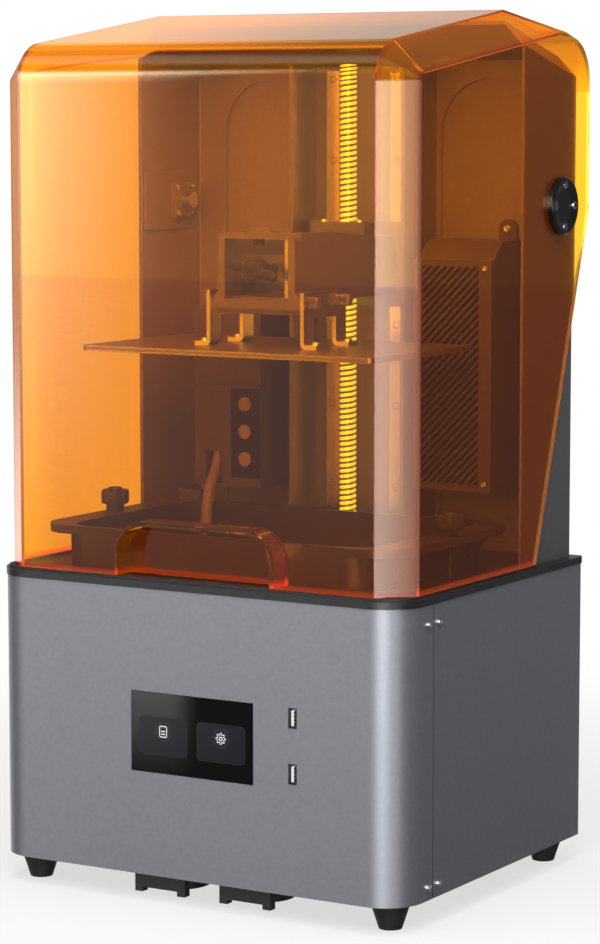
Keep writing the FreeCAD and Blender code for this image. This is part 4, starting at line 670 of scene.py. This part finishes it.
# Colour, grains a metre, contrast, roughness, its swing, metallic and relief
GRAINED = {
    "body_grey": ((0.31, 0.318, 0.350), 1500.0, 0.16, 0.43, 0.06, 0.55, 0.03),
    "floor_steel": ((0.03, 0.03, 0.033), 1800.0, 0.25, 0.5, 0.12, 0.0, 0.02),
    "rubber_black": ((0.018, 0.018, 0.019), 2600.0, 0.3, 0.62, 0.12, 0.0, 0.02),
    "deck_black": ((0.02, 0.02, 0.022), 2200.0, 0.25, 0.38, 0.12, 0.0, 0.02),
    "screen_glass": ((0.002, 0.002, 0.0025), 900.0, 0.1, 0.015, 0.005, 0.0, 0.0),
    "board_green": ((0.02, 0.13, 0.06), 700.0, 0.4, 0.45, 0.12, 0.0, 0.02),
    "lamp_grey": ((0.2, 0.2, 0.21), 1500.0, 0.2, 0.5, 0.12, 0.0, 0.02),
    "black_plastic": ((0.03, 0.03, 0.032), 2600.0, 0.35, 0.45, 0.12, 0.0, 0.02),
    "cap_black": ((0.006, 0.006, 0.007), 2400.0, 0.1, 0.16, 0.05, 0.0, 0.02),
    "motor_black": ((0.025, 0.025, 0.026), 2000.0, 0.2, 0.45, 0.12, 0.0, 0.02),
    "bearing_metal": ((0.2, 0.2, 0.21), 2400.0, 0.2, 0.4, 0.12, 0.8, 0.02),
    "module_plastic": ((0.13, 0.13, 0.134), 2600.0, 0.3, 0.42, 0.12, 0.0, 0.02),
    "bracket_grey": ((0.34, 0.34, 0.35), 2400.0, 0.2, 0.45, 0.12, 0.0, 0.02),
    "socket_dark": ((0.05, 0.05, 0.052), 2400.0, 0.1, 0.3, 0.12, 0.6, 0.02),
    "carbon_black": ((0.012, 0.012, 0.012), 320.0, 0.8, 0.9, 0.12, 0.0, 0.6),
    "button_white": ((0.66, 0.66, 0.65), 1500.0, 0.05, 0.3, 0.12, 0.0, 0.02),
    "fitting_white": ((0.6, 0.6, 0.58), 1500.0, 0.06, 0.4, 0.12, 0.0, 0.02),
    "hose_silicone": ((0.42, 0.42, 0.41), 900.0, 0.08, 0.35, 0.12, 0.0, 0.02),
    "arm_metal": ((0.26, 0.26, 0.265), 2600.0, 0.2, 0.4, 0.12, 0.5, 0.02),
    "plate_aluminium": ((0.34, 0.34, 0.35), 2200.0, 0.2, 0.36, 0.12, 0.9, 0.02),
    "vat_black": ((0.07, 0.07, 0.073), 2400.0, 0.2, 0.34, 0.12, 0.4, 0.02),
    "screen_card": ((0.014, 0.0155, 0.020), 900.0, 0.05, 0.12, 0.02, 0.0, 0.0),
    "screen_disc": ((0.030, 0.033, 0.041), 900.0, 0.05, 0.12, 0.02, 0.0, 0.0),
}

# Colour, stretch of the grain, contrast, roughness and metallic
UPRIGHT = (1.0, 1.0, 0.03)
BRUSHED = {
    "bright_metal": ((0.72, 0.72, 0.74), (1.0, 1.0, 0.1), 0.12, 0.25, 1.0),
    "plain_aluminium": ((0.62, 0.63, 0.65), (0.1, 1.0, 1.0), 0.15, 0.38, 1.0),
    "channel_grey": ((0.25, 0.25, 0.26), UPRIGHT, 0.15, 0.42, 0.6),
    "rail_steel": ((0.72, 0.72, 0.73), UPRIGHT, 0.12, 0.25, 1.0),
    "nut_brass": ((0.72, 0.52, 0.22), (1.0, 1.0, 8.0), 0.12, 0.3, 1.0),
    "leg_steel": ((0.68, 0.68, 0.69), UPRIGHT, 0.1, 0.3, 1.0),
}

# Every finish: those of the material slots, and a few that stand beside them
FINISH = {name: grained(name, *values) for name, values in GRAINED.items()}
FINISH.update({name: brushed(name, *values) for name, values in BRUSHED.items()})
FINISH["tower_grey"] = tower_paint_lit_inside()
FINISH["thread_steel"] = thread_steel()
FINISH["screen_icon"] = screen_light()
FINISH["film_clear"] = clear_film()
FINISH["lid_amber"] = amber_acrylic()

# Solids whose finish departs from that of their slot
OWN_FINISH = {
    "filter_box": "module_plastic", "filter_grille": "module_plastic", "pump_box": "module_plastic",
    "pump_covers": "module_plastic", "hinge_brackets": "bracket_grey", "usb_ports": "socket_dark",
}


def dress_nodes():
    """Give every solid of the model the finish of its slot, or its own."""
    for part in frame["record"]["subparts"]:
        item = frame["nodes"][part["node"]]
        finish = OWN_FINISH.get(part["node"], part["material_slot"])
        for slot in item.material_slots:
            slot.material = FINISH[finish]


# Hose from the pump's outlet down into the vat
HOSE_DIAMETER = 8.5 * MM
HOSE_X = -107.3 * MM
HOSE_ROUTE = [mm(72.15, 305.0), mm(72.15, 285.0), mm(52.95, 261.0), mm(52.95, 237.0)]


def make_hose():
    """Limp silicone hose: a smooth curve that the route's points pull along."""
    points = [(HOSE_X, y, z) for y, z in HOSE_ROUTE]
    curve = bpy.data.curves.new("pump_hose_tube", "CURVE")
    curve.dimensions = "3D"
    curve.bevel_depth = HOSE_DIAMETER / 2
    curve.bevel_resolution = 6
    curve.use_fill_caps = True
    line = curve.splines.new("NURBS")
    line.points.add(len(points) - 1)
    for control, place in zip(line.points, points):
        control.co = (*place, 1.0)
    line.order_u = 3
    line.use_endpoint_u = True
    line.resolution_u = 16
    hose = bpy.data.objects.new("pump_hose_tube", curve)
    scene.collection.objects.link(hose)
    curve.materials.append(FINISH["hose_silicone"])
    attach(hose, "printer")
    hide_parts("pump_hose")


def make_lead_screw():
    """Thread on a journal: its radius follows the phase z / pitch - a / turn, level at crest and root."""
    low, high = SCREW_THREAD
    rows = int((high - low) / SCREW_PITCH) * SCREW_ROWS_A_TURN + 1
    height = np.linspace(low, high, rows)[:, None]
    phase = 2 * math.pi * height / SCREW_PITCH - round_angles(SCREW_STEPS)
    steepness, lift = SCREW_WAVE
    wave = np.clip(steepness * np.cos(phase) + lift, -1, 1)
    radius = (SCREW_ROOT + SCREW_CREST) / 2 + wave * (SCREW_CREST - SCREW_ROOT) / 2
    closed = np.concatenate([0 * radius[:1], radius, 0 * radius[:1]])
    thread = spun(closed, np.concatenate([height[:1], height, height[-1:]]))
    foot, size = SCREW_JOURNAL
    journal = turned([(0, foot), (size, foot), (size, low), (0, low)])
    patches = [put(patch, (0, SCREW_Y, 0)) for patch in (thread, journal)]
    piece("lead_screw_thread", patches, "thread_steel", "lead_screw", ["lead_screw"], 50)


# Screws: head diameter, height and socket, and where they sit
LARGE_SCREW = mm(6.2, 2.0, 3.0)
SMALL_SCREW = mm(4.6, 1.7, 2.2)
FLAT_SCREW = mm(6.2, 1.7, 3.0)
SCREW_CROWN = np.array([(1.0, 0.0), (1.0, 0.45), (0.93, 0.78), (0.74, 1.0)])
SOCKET_FLOOR = 0.35
BASE_SIDE = 166.5 * MM
BASE_REAR = 131.65 * MM
COVER_SCREWS_Y = mm(-100.85, -86.35)
COVER_SCREWS_Z = mm(28.2, 206.6)
REAR_SCREWS_X = 0.93 * BASE_SIDE
HINGE_Y = 93.15 * MM
HINGE_Z = 479.5 * MM
CAP_FACE = 167.7 * MM
CAP_SCREW_RING = 15.0 * MM
FLANGE_FACE = 151.5 * MM
FLANGE_SCREW_REACH = 10.2 * MM
LEG_ROWS_Y = mm(-43.85, 0.15)
LEG_FACE = 40.0 * MM
LEG_FOOT_X = 45.6 * MM
LEG_FOOT_TOP = 385.0 * MM
THUMB_SCREW = mm(7.6, 8.0)
THUMB_SCREW_Z = 414 * MM
THUMB_PROFILE = np.array([(0.0, 0.0), (0.42, 0.0), (0.5, 0.1), (0.5, 0.88), (0.4, 1.0), (0.0, 1.0)])
THUMB_KNURL = np.array([0, 0, 1, 1, 0, 0])
KNURL_RIDGES = 24
KNURL_DEPTH = 0.035
NUT_SCREW_PLACE = mm(15, 70, 466)
RAIL_X = 26.5 * MM
RAIL_FACE = 102.15 * MM
RAIL_SCREWS_Z = mm(*range(270, 571, 60))
RAIL_SCREW_PROFILE = [mm(2.9, -0.3), mm(2.9, 0.06), mm(2.1, 0.06), mm(1.9, -0.2), (0, -0.2 * MM)]
MODULE_FACE = 63.15 * MM
FILTER_TAB_SCREW = mm(117, 101.15, 462)
FILTER_SCREWS_X = 119 * MM
FILTER_SCREWS_Z = mm(281, 435)


def screw_head(diameter, height, socket):
    """Button head with a six-sided socket: half its width over the cosine of the folded angle."""
    angle = round_angles(24)
    folded = (angle + math.pi / 6) % (math.pi / 3) - math.pi / 6
    hexagon = socket / 2 / np.cos(folded)
    rounds = np.repeat(SCREW_CROWN[:, :1] * diameter / 2, len(angle), axis=1)
    radius = np.concatenate([rounds, [hexagon, hexagon, 0 * hexagon]])
    rise = np.concatenate([SCREW_CROWN[:, 1], [1.0, SOCKET_FLOOR, SOCKET_FLOOR]]) * height
    return spun(radius, rise[:, None])


def knurled_screw(diameter, length):
    """Thumb screw: the radius ripples round its rim as r + d cos(ridges a), between bevelled ends."""
    ripple = KNURL_DEPTH * diameter * np.cos(KNURL_RIDGES * round_angles(4 * KNURL_RIDGES))
    radius = THUMB_PROFILE[:, :1] * diameter + ripple * THUMB_KNURL[:, None]
    return spun(radius, THUMB_PROFILE[:, 1:] * length)


def make_cover_screws():
    """Screws of the base's sheets, on both sides and behind."""
    large = screw_head(*LARGE_SCREW)
    cover = [
        put(large, (side * BASE_SIDE, y, z), (side, 0, 0))
        for side in SIDES for y in COVER_SCREWS_Y for z in COVER_SCREWS_Z
    ]
    cover += [
        put(large, (side * REAR_SCREWS_X, BASE_REAR, z), (0, 1, 0))
        for side in SIDES for z in COVER_SCREWS_Z
    ]
    piece("cover_screws", cover, "bright_metal", "printer")


def make_hinge_screws():
    """Screws round each hinge cap, outside, and in the flange of each bracket, inside."""
    flat = screw_head(*FLAT_SCREW)
    small = screw_head(*SMALL_SCREW)
    ring = CAP_SCREW_RING * round_ways(np.arange(4) * math.pi / 2)
    caps = [
        put(flat, (side * CAP_FACE, HINGE_Y + along, HINGE_Z + up), (side, 0, 0))
        for side in SIDES for along, up in ring
    ]
    piece("hinge_cap_screws", caps, "bright_metal", "lid")
    corners = [(along * FLANGE_SCREW_REACH, up * FLANGE_SCREW_REACH) for along in SIDES for up in SIDES]
    flange = [
        put(small, (side * FLANGE_FACE, HINGE_Y + along, HINGE_Z + up), (-side, 0, 0))
        for side in SIDES for along, up in corners
    ]
    piece("hinge_flange_screws", flange, "bright_metal", "printer")


def make_platform_screws():
    """Screws in the feet of the platform's legs, thumb screws in the legs, and the nut bracket's screws."""
    large = screw_head(*LARGE_SCREW)
    feet = [put(large, (side * LEG_FOOT_X, y, LEG_FOOT_TOP)) for side in SIDES for y in LEG_ROWS_Y]
    piece("leg_foot_screws", feet, "bright_metal", "carriage")
    thumb = knurled_screw(*THUMB_SCREW)
    thumbs = [
        put(thumb, (side * LEG_FACE, y, THUMB_SCREW_Z), (side, 0, 0))
        for side in SIDES for y in LEG_ROWS_Y
    ]
    piece("leg_thumb_screws", thumbs, "arm_metal", "carriage")
    x, y, z = NUT_SCREW_PLACE
    nut = [put(large, (side * x, y, z)) for side in SIDES]
    piece("nut_bracket_screws", nut, "bright_metal", "carriage")


def make_tower_screws():
    """Screws sunk in the rails, and those of the filter."""
    sunk = turned(RAIL_SCREW_PROFILE)
    rails = [put(sunk, (side * RAIL_X, RAIL_FACE, z), FORWARD) for side in SIDES for z in RAIL_SCREWS_Z]
    piece("rail_screws", rails, "arm_metal", "printer")
    small = screw_head(*SMALL_SCREW)
    modules = [put(screw_head(*LARGE_SCREW), FILTER_TAB_SCREW, FORWARD)]
    modules += [put(small, (FILTER_SCREWS_X, MODULE_FACE, z), FORWARD) for z in FILTER_SCREWS_Z]
    piece("module_screws", modules, "bright_metal", "printer")


# Screen: the panel's face, the sheets on it, and the sizes of what it shows
PANEL_FACE = -137.35 * MM
SCREEN_LEFT = -48.0 * MM
SCREEN_TOP = 148.0 * MM
SCREEN_SIZE = mm(99.0, 56.0)
SHEET = 0.05 * MM
CARD_SIZE = mm(39.8, 27.2)
CARD_CORNER = 4 * MM
CARD_SHARES = (0.266, 0.741)
CARD_DROP = 0.54
ICON_DROP = 0.477
DISC_SIZE = 15 * MM
PAGE_OUTER = mm(6.4, 8.2, 1.3)
PAGE_INNER = mm(5.0, 6.8, 0.7)
PAGE_LINE = mm(3.2, 0.8)
PAGE_LINE_DROPS = (-0.005, 0.03)
GEAR_RADIUS = 3.6 * MM
GEAR_TEETH = 8
GEAR_TOOTH = 0.5 * MM
GEAR_WIDTH = 0.8 * MM
GEAR_HUB = mm(1.5, 0.8)


def on_screen(patch, share, drop, layer):
    """Lay a flat patch on the screen at a share of its width and height; the layer keeps sheets apart."""
    x = SCREEN_LEFT + share * SCREEN_SIZE[0]
    z = SCREEN_TOP - drop * SCREEN_SIZE[1]
    return put(patch, (x, PANEL_FACE - layer * SHEET, z), FORWARD)


def make_screen_picture():
    """Start page: two cards, a disc on each, a page, and a gear of radius r + d clip(2 cos(teeth a))."""
    card = slab(*CARD_SIZE, SHEET, CARD_CORNER)
    cards = [on_screen(card, share, CARD_DROP, 0) for share in CARD_SHARES]
    piece("screen_cards", cards, "screen_card", "printer")
    disc = slab(DISC_SIZE, DISC_SIZE, SHEET, DISC_SIZE / 2)
    discs = [on_screen(disc, share, ICON_DROP, 1) for share in CARD_SHARES]
    piece("screen_discs", discs, "screen_disc", "printer")
    page = band(rounded_ring(*PAGE_OUTER), rounded_ring(*PAGE_INNER), SHEET)
    line = slab(*PAGE_LINE, SHEET)
    angle = round_angles(96)
    way = round_ways(angle)
    toothed = (GEAR_RADIUS + GEAR_TOOTH * np.clip(2 * np.cos(GEAR_TEETH * angle), -1, 1))[:, None]
    gear = band(way * toothed, way * (toothed - GEAR_WIDTH), SHEET)
    hub = band(way * GEAR_HUB[0], way * GEAR_HUB[1], SHEET)
    marks = [on_screen(page, CARD_SHARES[0], ICON_DROP, 2)]
    marks += [on_screen(line, CARD_SHARES[0], ICON_DROP + drop, 2) for drop in PAGE_LINE_DROPS]
    marks += [on_screen(mark, CARD_SHARES[1], ICON_DROP, 2) for mark in (gear, hub)]
    piece("screen_icons", marks, "screen_icon", "printer")


# Sockets beside the screen
SOCKET_X = 82.4 * MM
SOCKETS_Z = mm(141.0, 102.7)
TONGUE = mm(1.8, 10.6, 6, 0.2)
TONGUE_PLACE = mm(-0.1, 6.2)
CONTACT = mm(1.2, 1.5, 6)
CONTACT_PLACE = mm(1.4, 6.3)
CONTACT_STEP = 2.6 * MM


def make_socket_insides():
    """White tongue of each socket, glowing with the screen's emissive white as painted light, and the four
    dark contacts beside it.
    """
    tongue = slab(*TONGUE)
    aside, depth = TONGUE_PLACE
    tongues = [put(tongue, (SOCKET_X + aside, PANEL_FACE + depth, z), FORWARD) for z in SOCKETS_Z]
    # The tongues glow with the screen's emission, as painted light.
    piece("socket_tongues", tongues, "screen_icon", "printer")
    contact = slab(*CONTACT)
    aside, depth = CONTACT_PLACE
    contacts = [
        put(contact, (SOCKET_X + aside, PANEL_FACE + depth, z + step * CONTACT_STEP), FORWARD)
        for z in SOCKETS_Z for step in (-1.5, -0.5, 0.5, 1.5)
    ]
    piece("socket_contacts", contacts, "black_plastic", "printer")


# Clamp knob: its axis, and the half length, half height, its growth and half thickness of its wings
KNOB_TILT = math.radians(14)
KNOB_Z = 436.0 * MM
KNOB_HUB_Y = -25.4 * MM
KNOB_HUB = [
    mm(0, 0), mm(3.6, 0), mm(3.6, 17), mm(7.4, 17), mm(7.4, 30), mm(6.6, 31), mm(0, 31.4),
]
WING_Y = -53 * MM
WING_REACH = 20.5 * MM
WING_RISE = mm(3.4, 2.2)
WING_DEPTH = 3.3 * MM

# Vat knobs: place of the left and right one, and rows of radius, height and depth of flute
VAT_KNOB_X = 138.0 * MM
VAT_KNOB_Y = -22.85 * MM
VAT_KNOB_Z = 255.6 * MM
VAT_KNOB_LOBES = 6
VAT_KNOB_ROWS = np.array([
    mm(3.0, -34, 0), mm(3.0, 0, 0), mm(6.6, 0, 0), mm(6.6, 5, 0), mm(9.6, 5, 1), mm(10.9, 6, 1.6),
    mm(10.9, 13.6, 1.6), mm(10.0, 15, 1.2), mm(5.4, 15.2, 0), mm(4.8, 16.8, 0), mm(0.0, 17, 0),
])


def make_clamp_knob():
    """Wing knob on a turned hub: round sections along X, taller to the tips, closed by sqrt(1 - u^8)."""
    u = np.linspace(-1, 1, 41)[:, None]
    v = round_angles(20)
    end = np.sqrt(1 - u ** 8)
    along = WING_REACH * np.repeat(u, len(v), axis=1)
    rise = (WING_RISE[0] + WING_RISE[1] * u ** 2) * end * np.sin(v)
    out = WING_DEPTH * end * np.cos(v)
    x = along * math.cos(KNOB_TILT) + rise * math.sin(KNOB_TILT)
    z = rise * math.cos(KNOB_TILT) - along * math.sin(KNOB_TILT)
    points = np.stack([x, out + WING_Y, z + KNOB_Z], axis=-1).reshape(-1, 3)
    wings = points, grid_quads(len(u), len(v), wrap=True)
    hub = put(turned(KNOB_HUB), (0, KNOB_HUB_Y, KNOB_Z), FORWARD)
    piece("clamp_wing_knob", [wings, hub], "black_plastic", "clamp_knob", ["clamp_knob"])


def make_vat_knobs():
    """Lobed knobs: the head's radius is r - d (1 - cos(lobes a)) / 2, over a round collar and stud."""
    flute = (1 - np.cos(VAT_KNOB_LOBES * round_angles(12 * VAT_KNOB_LOBES))) / 2
    radius = VAT_KNOB_ROWS[:, :1] - VAT_KNOB_ROWS[:, 2:] * flute
    height = VAT_KNOB_ROWS[:, 1:2]
    closed = np.concatenate([0 * radius[:1], radius])
    knob = spun(closed, np.concatenate([height[:1], height]))
    for side, sign in (("left", -1), ("right", 1)):
        node = f"vat_knob_{side}"
        patches = [put(knob, (sign * VAT_KNOB_X, VAT_KNOB_Y, VAT_KNOB_Z))]
        piece(f"vat_lobed_knob_{side}", patches, "black_plastic", node, [node])


# Trims: size and place of each
GUIDE = mm(3.2, 10, 40.5)
GUIDE_PLACE = mm(20.0, -35.6, 416.8)
STOP = mm(6.6, 5, 4, 0.6)
STOP_PLACE = mm(0, -45, 453.4)
PLATE_GLINT_STRIP = mm(228, 0.6, 0.12)
PLATE_FACE = -92.82 * MM
PLATE_GLINTS_Z = mm(378.6, 381.5)
SEAM = mm(0.3, 0.7, 200)
SEAM_X = BASE_SIDE - 0.1 * MM
SEAM_Y = -94.15 * MM
SEAM_FOOT = 19.5 * MM
STRIP_LEFT, STRIP_RIGHT = mm(-91.6, -66.2)
STRIP_LOW, STRIP_HIGH = mm(274.0, 341.0)
STRIP_HEIGHT = 0.3 * MM
BUTTON_GAP = 0.3 * MM


def make_arm_trim():
    """Bright guide and dark stop in the arm's window, and two bright strips on the build plate's front edge
    as painted glints of its bevel.
    """
    piece("clamp_guide", [put(slab(*GUIDE), GUIDE_PLACE)], "leg_steel", "carriage")
    piece("clamp_stop", [put(slab(*STOP), STOP_PLACE)], "black_plastic", "carriage")
    # Painted highlight: bright strips for the glint along the plate's bevelled front edge.
    lines = [put(slab(*PLATE_GLINT_STRIP), (0, PLATE_FACE, z), FORWARD) for z in PLATE_GLINTS_Z]
    piece("plate_edge_glints", lines, "bright_metal", "carriage")


def make_seam_shade():
    """Painted shade: a dark sheet in the gap between the front and rear shells, seen as a line up each side.
    """
    # Dark sheet that paints the shade in the gap.
    lines = [put(slab(*SEAM), (side * SEAM_X, SEAM_Y, SEAM_FOOT)) for side in SIDES]
    piece("shell_seam_painted_shade", lines, "rubber_black", "printer")


def make_pump_trim():
    """Dark strip on the pump's cover, open round each button: a holed square each, and bars round them."""
    boxes = [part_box(f"pump_button_{number}") for number in (1, 2, 3)]
    middles = [(low + high) / 2 for low, high in boxes]
    radius = (boxes[0][1].x - boxes[0][0].x) / 2 + BUTTON_GAP
    side = abs(middles[0].z - middles[1].z)
    cell = holed_square(side, radius, STRIP_HEIGHT)
    patches = [put(cell, (middle.x, MODULE_FACE, middle.z), FORWARD) for middle in middles]
    left = middles[0].x - side / 2
    right = middles[0].x + side / 2
    low = min(middle.z for middle in middles) - side / 2
    high = max(middle.z for middle in middles) + side / 2
    bars = [
        (STRIP_LEFT, left, STRIP_LOW, STRIP_HIGH), (right, STRIP_RIGHT, STRIP_LOW, STRIP_HIGH),
        (left, right, STRIP_LOW, low), (left, right, high, STRIP_HIGH),
    ]
    for start, stop, bottom, top in bars:
        bar = slab(stop - start, top - bottom, STRIP_HEIGHT)
        patches.append(put(bar, ((start + stop) / 2, MODULE_FACE, (bottom + top) / 2), FORWARD))
    piece("pump_button_strip", patches, "cap_black", "printer")


make_camera()
make_studio()
dress_nodes()
make_hose()
make_lead_screw()
make_cover_screws()
make_hinge_screws()
make_platform_screws()
make_tower_screws()
make_screen_picture()
make_socket_insides()
make_clamp_knob()
make_vat_knobs()
make_arm_trim()
make_seam_shade()
make_pump_trim()
